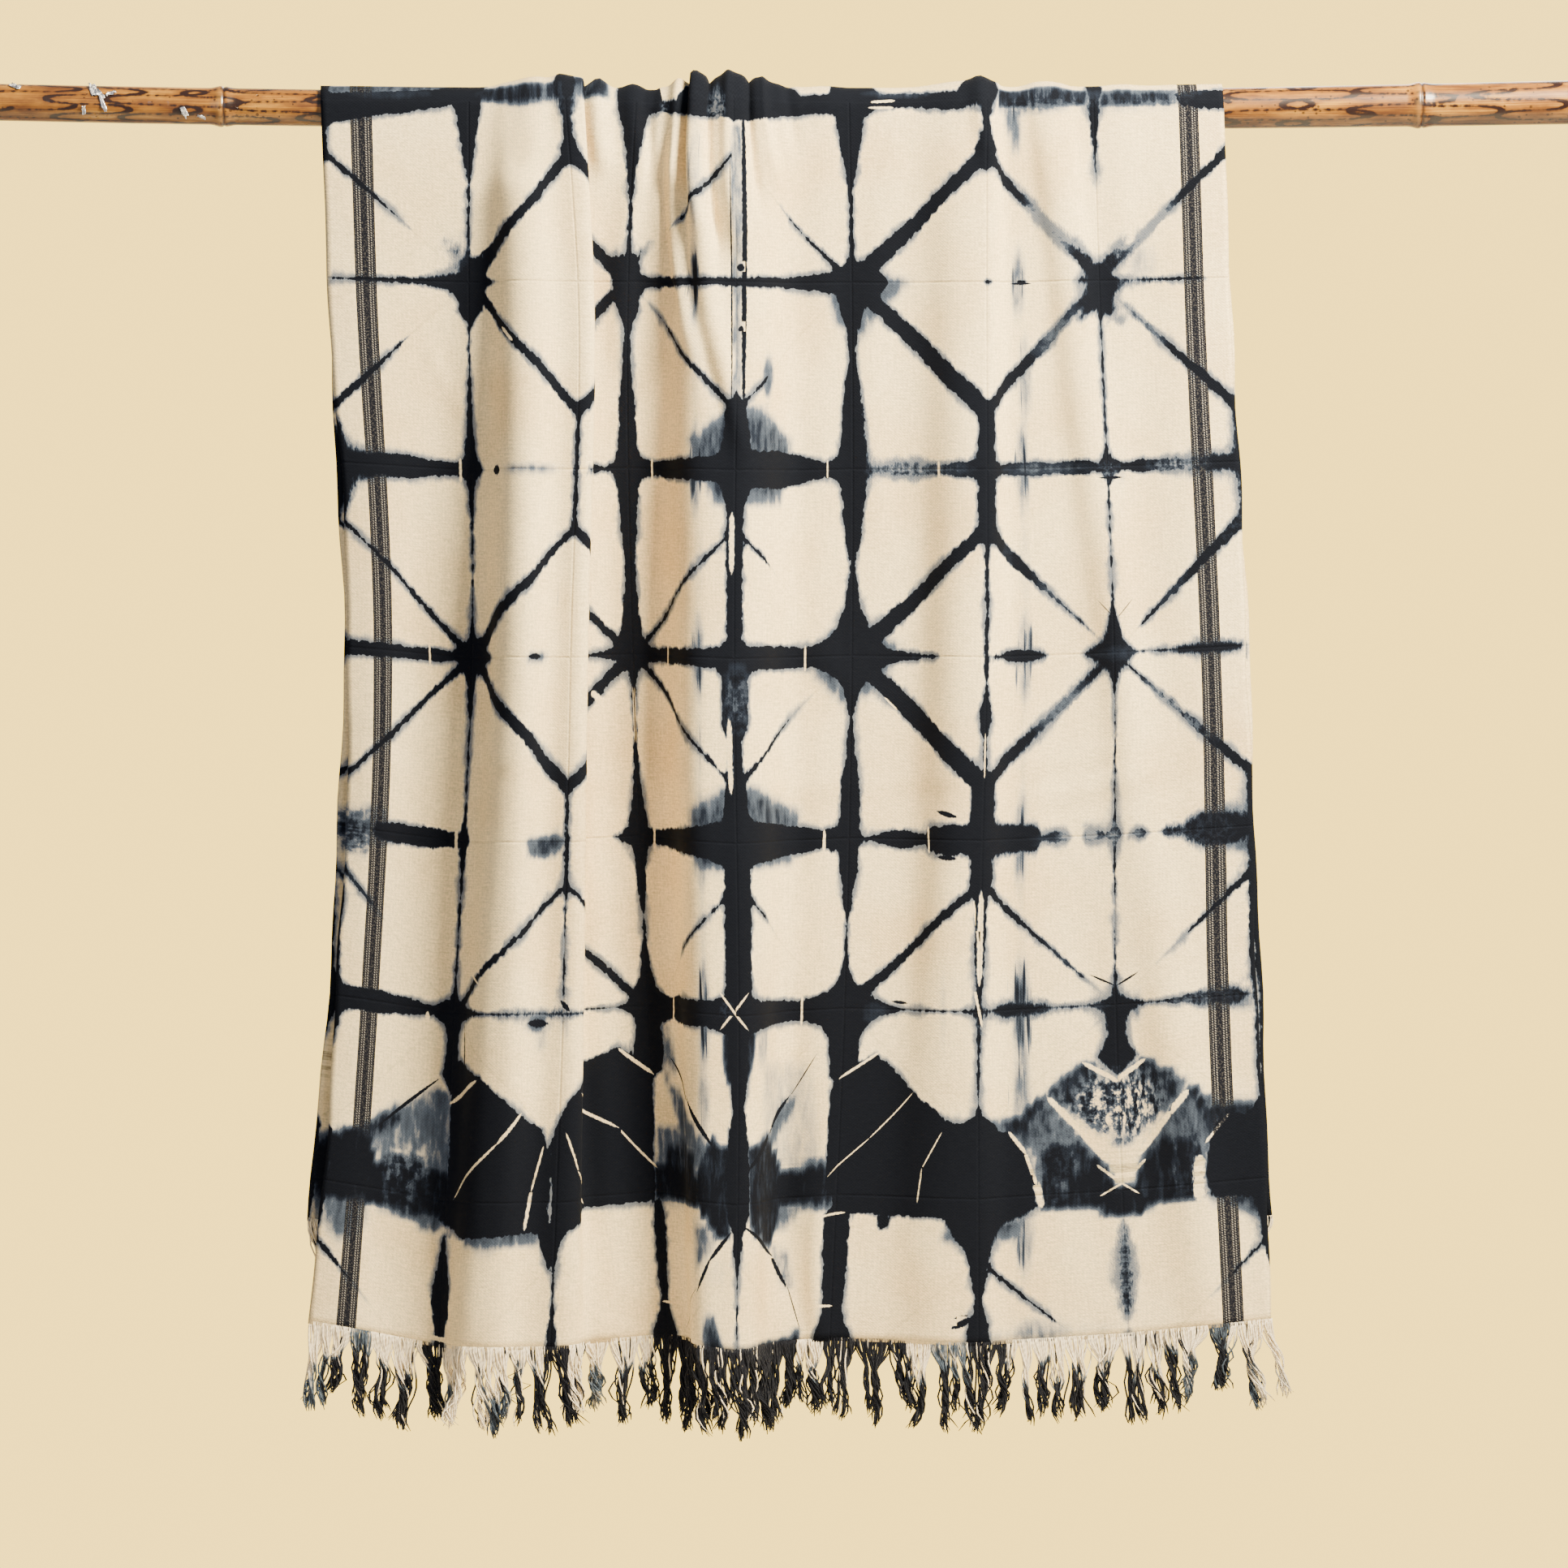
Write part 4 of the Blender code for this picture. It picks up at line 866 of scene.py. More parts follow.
        # Warp stripe of each side: 20 mm wide, its middle 36.5 mm in from the side edge
        side = add_node(tree, MATH, (across, 0.54), operation="PINGPONG")
        place = add_node(tree, RANGE, {"Value": side, "From Min": 0.0265, "From Max": 0.0465})
        dark, grey, light = "000000", "505050", "A6A6A6"
        band = add_node(
            tree, RAMP, (place,),
            stops=(
                (0.0, dark), (0.05, grey), (0.09, dark), (0.16, light), (0.205, dark), (0.28, light), (
                    0.34, dark
                ),
                (0.66, light), (0.72, dark), (0.795, light), (0.84, dark), (0.91, grey), (0.95, dark),
            ),
        )
        band.node.color_ramp.interpolation = "CONSTANT"
        dashes = add_node(tree, MATH, (down, math.pi / (1.1 * MM)), operation="MULTIPLY")
        dashes = add_node(tree, MATH, (across, 1900.0, dashes), operation="MULTIPLY_ADD")
        dashes = add_node(tree, MATH, (dashes,), operation="SINE")
        dashes = add_node(tree, RANGE, {"Value": dashes, "From Min": -0.3, "From Max": 0.4, "To Max": 0.5})
        light_share = add_node(tree, MATH, (band, dashes), operation="SUBTRACT", use_clamp=True)
        dots = add_node(tree, NOISE, {"Vector": flat, "Scale": 620.0, "Detail": 1.0}, noise_dimensions="2D")
        dots = add_node(tree, RANGE, {"Value": dots, "From Min": 0.5, "From Max": 0.7, "To Max": 0.06})
        light_share = add_node(tree, MATH, (light_share, dots), operation="MAXIMUM")
        stripe = add_node(
            tree, MIX, {0: light_share, 6: linear(self.stripe_dark), 7: linear(self.stripe_light)},
            output=2, data_type="RGBA",
        )
        inside = add_node(tree, MATH, (side, 0.0365, 0.0100), operation="COMPARE")
        cotton = add_node(tree, MIX, {0: inside, 6: cotton, 7: stripe}, output=2, data_type="RGBA")

        # Weft lines at both ends, by their distance from the hem
        hem = add_node(tree, MATH, (down, 1.078), operation="PINGPONG")
        hem = add_node(tree, RANGE, {"Value": hem, "From Max": 0.25})
        lines = add_node(
            tree, RAMP, (hem,),
            stops=(
                (0.0, dark), (0.008, "6A6A6A"), (0.014, dark), (0.024, "6A6A6A"), (0.030, dark),
                (0.040, "5A5A5A"), (0.046, dark), (0.110, "3A3A3A"), (0.116, dark), (0.134, "3A3A3A"),
                (0.140, dark), (0.516, "B0B0B0"), (0.530, "505050"), (0.545, "D8D8D8"), (0.560, dark),
                (0.580, "D8D8D8"), (0.612, "707070"), (0.624, dark), (0.632, "909090"), (0.640, dark),
                (0.652, "909090"), (0.660, dark), (0.890, "4A4A4A"), (0.896, dark), (0.908, "4A4A4A"),
                (0.914, dark), (0.926, "3A3A3A"), (0.932, dark),
            ),
        )
        lines.node.color_ramp.interpolation = "CONSTANT"
        fray = add_node(tree, RANGE, {"Value": yarns, "From Min": 0.93, "From Max": 1.05, "To Min": 0.35})
        lines = add_node(tree, MATH, (lines, fray), operation="MULTIPLY")
        cotton = add_node(
            tree, MIX, {0: lines, 6: cotton, 7: linear(self.stripe_dark)}, output=2, data_type="RGBA"
        )

        # Painted shade: a faint dark line in the pressed creases and along the slanting fold lines
        crease = self.crease_line(tree, mirror, 1.1)
        slant = add_node(tree, "ShaderNodeUVMap", uv_map="slant")
        slant = add_node(tree, "ShaderNodeSeparateXYZ", (slant,))
        slant = add_node(tree, MATH, (slant,), operation="ABSOLUTE")
        slant = add_node(tree, RANGE, {"Value": slant, "From Max": 1.6, "To Min": 0.8, "To Max": 0.0})
        crease = add_node(tree, MATH, (crease, slant), operation="MAXIMUM")
        crease = add_node(tree, MATH, (crease, -0.16, 1.0), operation="MULTIPLY_ADD")
        return add_node(tree, VECTOR, {0: cotton, "Scale": crease}, operation="SCALE")

    def crease_line(
        self, tree: bpy.types.NodeTree, mirror: bpy.types.NodeSocket, half: float
    ) -> bpy.types.NodeSocket:
        """Draw the pressed folds of the dyer.

        Args:
            tree: node tree of the cotton.
            mirror: flat place folded on the creases.
            half: half width of the crease in millimetres.

        Returns:
            The crease's strength from 0 to 1.
        """
        parts = add_node(tree, "ShaderNodeSeparateXYZ", (mirror,))
        nearest = None
        for socket, gap in ((parts, 0.0675), (parts.node.outputs[1], 0.0812)):
            off = add_node(tree, MATH, (socket, gap), operation="PINGPONG")
            nearest = off if nearest is None else add_node(tree, MATH, (nearest, off), operation="MINIMUM")
        return add_node(
            tree, RANGE, {"Value": nearest, "From Max": half * MM, "To Min": 1.0, "To Max": 0.0},
            interpolation_type="SMOOTHSTEP",
        )

    def creases(
        self, tree: bpy.types.NodeTree, mirror: bpy.types.NodeSocket, weave: bpy.types.NodeSocket
    ) -> bpy.types.NodeSocket:
        """Return the weave's height with the pressed creases sunk in it."""
        crease = self.crease_line(tree, mirror, 1.8)
        return add_node(tree, MATH, (crease, -1.4, weave), operation="MULTIPLY_ADD")


@dataclass(frozen=True)
class FringeYarn:
    """Loose two-ply cotton warp ends, dyed with the cloth.

    The eye sees matt twisted threads, cream where the ties kept the bath off and blue-black
    where it reached the tips.
    """

    name: str = "cotton_yarn_two_ply"
    cream: str = "EFE0C0"
    dyed: str = "14161D"
    half_dyed: str = "55626F"

    def build(self) -> bpy.types.Material:
        """Make the material.

        Returns:
            The finished yarn.
        """
        material, tree = new_tree(self.name)
        dye = add_node(tree, "ShaderNodeAttribute", output="Fac", attribute_name="yarn_dye")
        place = add_node(tree, "ShaderNodeTexCoord", output="Object")
        fluff = add_node(tree, NOISE, {"Vector": place, "Scale": 130.0, "Detail": 3.0})
        blotch = add_node(tree, MATH, (fluff, 0.5), operation="SUBTRACT")
        dye = add_node(tree, MATH, (blotch, 0.32, dye), operation="MULTIPLY_ADD", use_clamp=True)
        colour = add_node(
            tree, RAMP, (dye,), stops=(
                (0.0, self.cream), (0.3, self.cream), (0.5, self.half_dyed), (0.68, self.dyed)
            )
        )
        ply = add_node(tree, "ShaderNodeUVMap", uv_map="ply")
        # Ply twist: one turn in 2.5 mm, drawn as slanting bands along each yarn, with painted shade that
        # darkens the colour in the twist's grooves
        twist = add_node(
            tree, "ShaderNodeTexWave", {"Vector": ply, "Scale": 130.0, "Distortion": 1.0},
            bands_direction="DIAGONAL"
        )
        bump = add_node(tree, "ShaderNodeBump", {"Height": twist, "Distance": 0.25 * MM, "Strength": 0.7})
        shade = add_node(tree, RANGE, {"Value": twist.node.outputs[1], "To Min": 0.86, "To Max": 1.05})
        colour = add_node(tree, VECTOR, {0: colour, "Scale": shade}, operation="SCALE")
        surface = add_node(
            tree, "ShaderNodeBsdfPrincipled",
            {
                "Base Color": colour, "Roughness": 0.92, "Normal": bump, "Specular IOR Level": 0.15,
                "Sheen Weight": 0.05
            },
        )
        add_node(tree, "ShaderNodeOutputMaterial", (surface,))
        return material


@dataclass(frozen=True)
class ScorchedBamboo:
    """Bamboo culm with its skin on, flame-marked, oiled and polished by handling.

    The eye sees a glossy orange-brown skin with fine fibres along it, long dark zigzag
    scorch strokes, a pale ridge and a dark groove at each node, pores and scuffs.
    """

    name: str = "bamboo_skin_flame_scorched"
    straw: str = "BE8C34"
    amber: str = "8F5E1C"
    brown: str = "583210"
    scorch: str = "200D05"
    pale: str = "A87A38"
    dust: str = "4A4E5C"

    def build(self) -> bpy.types.Material:
        """Make the material.

        Returns:
            The finished bamboo skin.
        """
        material, tree = new_tree(self.name)
        place = add_node(tree, "ShaderNodeTexCoord", output="Object")
        skin = add_node(tree, "ShaderNodeUVMap", uv_map="skin")
        marks = add_node(tree, "ShaderNodeAttribute", output="Vector", attribute_name="culm")
        marks = add_node(tree, "ShaderNodeSeparateXYZ", (marks,))
        burn, ridge, groove = marks, marks.node.outputs[1], marks.node.outputs[2]
        # Fibre bundles 0.9 mm apart round the culm, drawn out along it
        fibres = add_node(tree, VECTOR, (skin, (9.0, 1100.0, 0.0)), operation="MULTIPLY")
        fibres = add_node(tree, NOISE, {"Vector": fibres, "Scale": 1.0, "Detail": 4.0}, noise_dimensions="2D")
        mottle = add_node(tree, VECTOR, (place, (16.0, 60.0, 60.0)), operation="MULTIPLY")
        mottle = add_node(tree, NOISE, {"Vector": mottle, "Scale": 1.0, "Detail": 6.0, "Roughness": 0.6})
        tone = add_node(tree, MATH, (fibres, 0.45, mottle), operation="MULTIPLY_ADD")
        colour = add_node(
            tree, RAMP, (tone,), stops=((0.50, self.straw), (0.70, self.amber), (0.88, self.brown))
        )
        wobble = add_node(tree, NOISE, {"Vector": place, "Scale": 260.0, "Detail": 2.0})
        wobble = add_node(tree, MATH, (wobble, 0.5), operation="SUBTRACT")
        burn = add_node(tree, MATH, (wobble, 1.6, burn), operation="MULTIPLY_ADD")
        stain = add_node(
            tree, RANGE, {"Value": burn, "From Min": -0.3, "From Max": 2.6, "To Min": 0.75, "To Max": 0.0}
        )
        colour = add_node(tree, MIX, {0: stain, 6: colour, 7: linear(self.brown)}, output=2, data_type="RGBA")
        stroke = add_node(
            tree, RANGE, {"Value": burn, "From Min": -0.1, "From Max": 0.5, "To Min": 1.0, "To Max": 0.0}
        )
        colour = add_node(
            tree, MIX, {0: stroke, 6: colour, 7: linear(self.scorch)}, output=2, data_type="RGBA"
        )
        colour = add_node(tree, MIX, {0: ridge, 6: colour, 7: linear(self.pale)}, output=2, data_type="RGBA")
        colour = add_node(
            tree, MIX, {0: groove, 6: colour, 7: linear(self.scorch)}, output=2, data_type="RGBA"
        )
        pores = add_node(tree, "ShaderNodeTexVoronoi", {"Vector": place, "Scale": 150.0}, output="Distance")
        patchy = add_node(tree, NOISE, {"Vector": place, "Scale": 24.0, "Detail": 3.0})
        patchy = add_node(
            tree, RANGE,
            {"Value": patchy, "From Min": 0.38, "From Max": 0.7, "To Min": 0.06, "To Max": 0.26}
        )
        pores = add_node(tree, MATH, (pores, patchy), operation="LESS_THAN")
        pores = add_node(tree, MATH, (pores, 0.75), operation="MULTIPLY")
        colour = add_node(
            tree, MIX, {0: pores, 6: colour, 7: linear(self.scorch)}, output=2, data_type="RGBA"
        )
        grime = add_node(tree, NOISE, {"Vector": place, "Scale": 75.0, "Detail": 5.0, "Roughness": 0.7})
        grime = add_node(tree, RANGE, {"Value": grime, "From Min": 0.66, "From Max": 0.74, "To Max": 0.6})
        colour = add_node(tree, MIX, {0: grime, 6: colour, 7: linear(self.dust)}, output=2, data_type="RGBA")
        relief = add_node(tree, MATH, (pores, -1.0, fibres), operation="MULTIPLY_ADD")
        relief = add_node(tree, MATH, (grime, 0.8, relief), operation="MULTIPLY_ADD")
        bump = add_node(tree, "ShaderNodeBump", {"Height": relief, "Distance": 0.3 * MM, "Strength": 0.5})
        roughness = add_node(
            tree, RANGE,
            {"Value": mottle, "From Min": 0.3, "From Max": 0.75, "To Min": 0.24, "To Max": 0.46}
        )
        roughness = add_node(tree, MATH, (grime, 0.5, roughness), operation="MULTIPLY_ADD")
        surface = add_node(
            tree, "ShaderNodeBsdfPrincipled",
            {
                "Base Color": colour, "Roughness": roughness, "Normal": bump, "IOR": 1.5,
                "Coat Weight": 0.35, "Coat Roughness": 0.18,
            },
        )
        add_node(tree, "ShaderNodeOutputMaterial", (surface,))
        return material


@dataclass(frozen=True)
class SawnBamboo:
    """Sawn end of the culm: dry, pale wall with dark fibre bundles cut across."""

    name: str = "bamboo_sawn_end"
    wall: str = "CDA770"
    bundle: str = "6B4420"

    def build(self) -> bpy.types.Material:
        """Make the material.

        Returns:
            The finished sawn wood.
        """
        material, tree = new_tree(self.name)
        place = add_node(tree, "ShaderNodeTexCoord", output="Object")
        # Fibre bundles 0.8 mm across
        cells = add_node(tree, "ShaderNodeTexVoronoi", {"Vector": place, "Scale": 1250.0}, output="Distance")
        cells = add_node(
            tree, RANGE, {"Value": cells, "From Min": 0.25, "From Max": 0.5, "To Min": 1.0, "To Max": 0.0}
        )
        colour = add_node(
            tree, MIX, {0: cells, 6: linear(self.wall), 7: linear(self.bundle)}, output=2, data_type="RGBA"
        )
        bump = add_node(tree, "ShaderNodeBump", {"Height": cells, "Distance": 0.2 * MM, "Strength": 0.6})
        surface = add_node(
            tree, "ShaderNodeBsdfPrincipled", {"Base Color": colour, "Roughness": 0.8, "Normal": bump}
        )
        add_node(tree, "ShaderNodeOutputMaterial", (surface,))
        return material


@dataclass(frozen=True)
class FoilTape:
    """Torn flakes of aluminium-faced tape, crumpled and half peeled off the culm."""

    name: str = "aluminium_foil_tape_torn"
    metal: str = "C9CBD0"
    paper: str = "E9E7E4"

    def build(self) -> bpy.types.Material:
        """Make the material.

        Returns:
            The finished tape.
        """
        material, tree = new_tree(self.name)
        place = add_node(tree, "ShaderNodeTexCoord", output="Object")
        torn = add_node(tree, NOISE, {"Vector": place, "Scale": 320.0, "Detail": 4.0, "Roughness": 0.7})
        bare = add_node(tree, RANGE, {"Value": torn, "From Min": 0.48, "From Max": 0.6})
        colour = add_node(
            tree, MIX, {0: bare, 6: linear(self.metal), 7: linear(self.paper)}, output=2, data_type="RGBA"
        )
        metallic = add_node(tree, MATH, (1.0, bare), operation="SUBTRACT")
        bump = add_node(tree, "ShaderNodeBump", {"Height": torn, "Distance": 0.6 * MM, "Strength": 0.9})
        surface = add_node(
            tree, "ShaderNodeBsdfPrincipled",
            {"Base Color": colour, "Roughness": 0.35, "Metallic": metallic, "Normal": bump},
        )
        add_node(tree, "ShaderNodeOutputMaterial", (surface,))
        return material


@dataclass(frozen=True)
class StudioFloor:
    """Painted board of the studio floor: plain, pale and matt."""

    name: str = "studio_floor_matt_paint"
    paint: str = "EFE3CB"

    def build(self) -> bpy.types.Material:
        """Make the material.

        Returns:
            The finished paint.
        """
        material, tree = new_tree(self.name)
        place = add_node(tree, "ShaderNodeTexCoord", output="Object")
        roller = add_node(tree, NOISE, {"Vector": place, "Scale": 260.0, "Detail": 3.0})
        bump = add_node(tree, "ShaderNodeBump", {"Height": roller, "Distance": 0.2 * MM, "Strength": 0.15})
        surface = add_node(
            tree, "ShaderNodeBsdfPrincipled", {
                "Base Color": linear(self.paint), "Roughness": 0.7, "Normal": bump
            }
        )
        add_node(tree, "ShaderNodeOutputMaterial", (surface,))
        return material


@dataclass(frozen=True)
class PoleForm:
    """Sizes of the bamboo culm."""

    length: float = 1.50
    middle_radius: float = 0.0169
    taper: float = 0.0016
    flare: float = 0.0012
    sag: float = 0.0090
    first_node: float = -0.4975
    node_pitch: float = 0.2655
    node_count: int = 5
    swell: float = 0.0017
    half_width: float = 0.013

    def radius(self, x: np.ndarray) -> np.ndarray:
        """Return the radius at x without the nodes."""
        share = x / (0.5 * self.length)
        return self.middle_radius + self.taper * share + self.flare * share * share

    def height(self, x: np.ndarray) -> np.ndarray:
        """Return the height of the axis at x."""
        share = x / (0.5 * self.length)
        return self.sag * share * share

    def nodes(self) -> list[float]:
        """Return the place of every node."""
        return [self.first_node + self.node_pitch * count for count in range(self.node_count)]

    def swelling(self, x: np.ndarray, half_width: float) -> np.ndarray:
        """Return how far the nodes stand out at x."""
        return self.swell * sum(lobe((x - place) / half_width) for place in self.nodes())


@dataclass(frozen=True)
class Drape:
    """Path of the cloth over the pole, the same as in the CAD."""

    pole: PoleForm
    panels: int = 8
    panel_width: float = 0.135
    front_length: float = 1.123
    back_length: float = 1.033
    clearance: float = 0.0006
    ease: float = 0.0006
    cad_thickness: float = 0.0018
    floor: float = -0.014
    round_at_pole: float = 0.0015
    round_below: float = 0.014
    back_depth: float = 0.62
    gather_from: float = 3.05
    gather_to: float = 4.95
    gather_waves: float = 4.5
    gather_lean: float = 44.0
    gather_reach: float = 0.085
    step: float = 0.001

    def length(self, side: Side) -> float:
        """Return how far a drop runs from the pole's top to its hem."""
        return self.back_length if side is Side.BACK else self.front_length

    def quarter(self) -> float:
        """Return the cloth's run from the pole's top to its middle height."""
        return 0.5 * math.pi * (self.pole.middle_radius + self.clearance + self.pole.swell)

    def section(self, distance: float, side: Side) -> tuple[np.ndarray, np.ndarray, np.ndarray]:
        """Fold the cloth at one distance from the pole's top.

        Args:
            distance: run along the cloth from the pole's top.
            side: the drop.

        Returns:
            Flat place across the cloth, x, and the depth of the fold.
        """
        width = self.panels * self.panel_width
        flat = np.arange(0.0, width + 0.5 * self.step, self.step)
        panel = flat / self.panel_width
        fall = min(distance / self.front_length, 1.0)
        lean = np.zeros_like(flat)
        for at_pole, at_hem, half, leans in FLANKS.values():
            middle = at_pole + (at_hem - at_pole) * fall
            lean += along(FLANK_STATIONS, leans, distance) * lobe((panel - middle) / half)
        inside = np.clip((panel - self.gather_from) / (self.gather_to - self.gather_from), 0.0, 1.0)
        fade = math.exp(-((distance / self.gather_reach) ** 2))
        waves = np.sin(2.0 * math.pi * self.gather_waves * inside) * np.sin(math.pi * inside)
        lean = np.radians(lean + self.gather_lean * fade * waves)
        runs = []
        for part in (np.cos(lean), np.sin(lean)):
            runs.append(np.concatenate(([0.0], np.cumsum(0.5 * (part[1:] + part[:-1]) * self.step))))
        across, depth = runs
        lines = np.arange(self.panels + 1)
        places = np.array([along(LINE_STATIONS, row, distance) for row in LINE_PLACES])
        if side is Side.BACK:
            places += [fall * BACK_SHIFT.get(line, 0.0) for line in range(self.panels + 1)]
        x = across + np.interp(panel, lines, places - np.interp(lines, panel, across))
        valleys = [at_pole + (at_hem - at_pole) * fall for at_pole, at_hem in VALLEYS]
        depth = depth - np.interp(panel, valleys, np.interp(valleys, panel, depth))
        depth = depth * along(DEPTH_STATIONS, DEPTH_SHARES, distance)
        if side is Side.BACK:
            depth = depth * (1.0 + (self.back_depth - 1.0) * min(distance / DEPTH_STATIONS[3], 1.0))
        hang = min(max(distance - DEPTH_STATIONS[1], 0.0) / (DEPTH_STATIONS[3] - DEPTH_STATIONS[1]), 1.0)
        hang = hang * hang * (3.0 - 2.0 * hang)
        rounding = self.round_at_pole + (self.round_below - self.round_at_pole) * hang
        depth = 0.5 * (depth + np.sqrt(depth * depth + rounding * rounding))
        return flat, x, depth + self.floor * hang

    def points(self, columns: np.ndarray, distance: float, side: Side) -> np.ndarray:
        """Place a row of the cloth.

        Args:
            columns: flat places across the cloth.
            distance: run along the cloth from the pole's top.
            side: the drop.

        Returns:
            One point for each column.
        """
        flat, x_all, depth_all = self.section(distance, side)
        x = np.interp(columns, flat, x_all)
        depth = np.interp(columns, flat, depth_all)
        seat = self.pole.radius(x) + self.pole.swelling(x, 2.0 * self.pole.half_width) + self.ease
        reach = seat + self.clearance + 0.5 * self.cad_thickness + depth
        turn = 0.5 * math.pi * min(distance / self.quarter(), 1.0)
        sense = 1.0 if side is Side.BACK else -1.0
        z = self.pole.height(x) + reach * math.cos(turn)
        length = self.length(side)
        share = max(distance - self.quarter(), 0.0) / (length - self.quarter())
        low = np.interp(columns / self.panel_width, np.arange(self.panels + 1), HEM_LOW)
        low = low + self.front_length - length
        return np.column_stack((x, sense * reach * math.sin(turn), z * (1.0 - share) + low * share))


@dataclass(frozen=True)
class DyeChart:
    """The dyer's folds and ties, read as distances on the flat cloth in millimetres."""

    panel: float = 135.0
    panels: int = 8
    rows: tuple[float, ...] = (23.5, 183.6, 349.2, 514.8, 676.8, 828.0, 993.6, 1160.0)
    slope: float = 0.84
    absent: float = -9.0
    web: float = 9.0
    band_web: float = 4.0
    body_web: float = 3.0
    far: float = 9.0
    clear: float = 60.0
    row_gap: float = 162.4

    def halves(self, table: tuple[tuple[float, float], ...], at: np.ndarray) -> np.ndarray:
        """Read a line's half width, sinking fast to nothing where no dye is charted."""
        places, halves = np.array(table, dtype=float).T
        halves = np.where(halves < -3.0, self.absent, halves)
        return np.interp(at, places, halves)

    def edge(self, across: np.ndarray, down: np.ndarray) -> np.ndarray:
        """Return the distance to the dye's edge, below zero inside.

        Args:
            across: flat places across.
            down: distances from the pole's top.

        Returns:
            The distance, without the slanting lines.
        """
        reach = np.full(across.shape, self.clear)
        for column, table in COLUMN_DYE.items():
            line = np.abs(across - column * self.panel) - self.halves(table, down)
            reach = smooth_lower(reach, line, self.web)
        for row, table in ROW_DYE.items():
            line = np.abs(down - self.rows[row]) - self.halves(table, across)
            reach = smooth_lower(reach, line, self.web)
        places, upper, lower = np.array(POLE_BAND, dtype=float).T
        band = np.maximum(np.interp(across, places, upper) - down, down - np.interp(across, places, lower))
        reach = smooth_lower(reach, band, self.band_web)
        for corners in DYED_BODIES.values():
            reach = smooth_lower(reach, self.body(corners, across, down), self.body_web)
        return reach

    def body(
        self, corners: tuple[tuple[float, float], ...], across: np.ndarray, down: np.ndarray
    ) -> np.ndarray:
        """Return the distance to a body's outline, below zero inside.

        Args:
            corners: the body's corner points.
            across: flat places across.
            down: distances from the pole's top.

        Returns:
            The signed distance at each place.
        """
        nearest = np.full(across.shape, 1000.0)
        inside = np.zeros(across.shape, dtype=bool)
        for first, second in zip(corners, corners[1:] + corners[:1]):
            run = np.subtract(second, first)
            share = ((across - first[0]) * run[0] + (down - first[1]) * run[1]) / max(run @ run, 1e-6)
            share = np.clip(share, 0.0, 1.0)
            off = np.hypot(across - first[0] - share * run[0], down - first[1] - share * run[1])
            nearest = np.minimum(nearest, off)
            if first[1] != second[1]:
                between = (first[1] > down) != (second[1] > down)
                inside ^= between & (across < first[0] + run[0] * (down - first[1]) / run[1])
        return np.where(inside, -nearest, nearest)

    def slants(self, across: np.ndarray, down: np.ndarray) -> tuple[np.ndarray, np.ndarray]:
        """Measure to the slanting line of each cell.

        Args:
            across: flat places across.
            down: distances from the pole's top.

        Returns:
            The signed distance and the line's half width.
        """
        panel = np.clip((across // self.panel).astype(int), 0, self.panels - 1)
        interval = np.clip(np.searchsorted(self.rows, down, side="right") - 1, 0, len(self.rows) - 2)
        star = np.where(panel % 2 == 1, panel, panel + 1)
        star_row = np.where(interval % 2 == 1, interval, interval + 1)
        aside = np.abs(across - star * self.panel)
        below = np.abs(down - np.array(self.rows)[star_row])
        off = (below - self.slope * aside) / math.hypot(1.0, self.slope)
        half = np.full(across.shape, self.absent)
        for (column, row), halves in SLANT_DYE.items():
            here = (panel == column) & (interval == row)
            stops = np.linspace(0.0, self.panel, len(halves))
            table = tuple(zip(stops, halves))
            half[here] = self.halves(table, aside[here])
        return off, half

    def spots(
        self, table: tuple[tuple[float, float, float, float, float], ...], across: np.ndarray,
        down: np.ndarray
    ) -> np.ndarray:
        """Return the strongest of a table's soft round spots at each place.

        Args:
            table: middle, level, half width, half height and strength of each spot.
            across: flat places across.
            down: distances from the pole's top.

        Returns:
            The strength at each place.
        """
        strength = np.zeros(across.shape)
        for middle, level, wide, high, amount in table:
            off = ((across - middle) / wide) ** 2 + ((down - level) / high) ** 2
            strength = np.maximum(strength, amount * np.exp(-0.7 * off * off))
        return strength

    def washed(self, across: np.ndarray, down: np.ndarray) -> np.ndarray:
        """Return the strength of the washed bodies at each place.

        Args:
            across: flat places across.
            down: distances from the pole's top.

        Returns:
            The strength at each place.
        """
        strength = np.zeros(across.shape)
        for amount, soft, corners in WASHED_BODIES.values():
            share = np.clip(0.5 - 0.5 * self.body(corners, across, down) / soft, 0.0, 1.0)
            strength = np.maximum(strength, amount * share * share * (3.0 - 2.0 * share))
        return strength

    def ties(self) -> list[tuple[float, float, float, float, float]]:
        """Return every undyed stroke, with the strands inside the columns."""
        strokes = list(RESIST_TIES)
        for column, start, stop, offset, half in INNER_STRANDS:
            middle = column * self.panel
            for place in sorted({middle - offset, middle + offset}):
                strokes.append((place, start, place, stop, half))
        return strokes

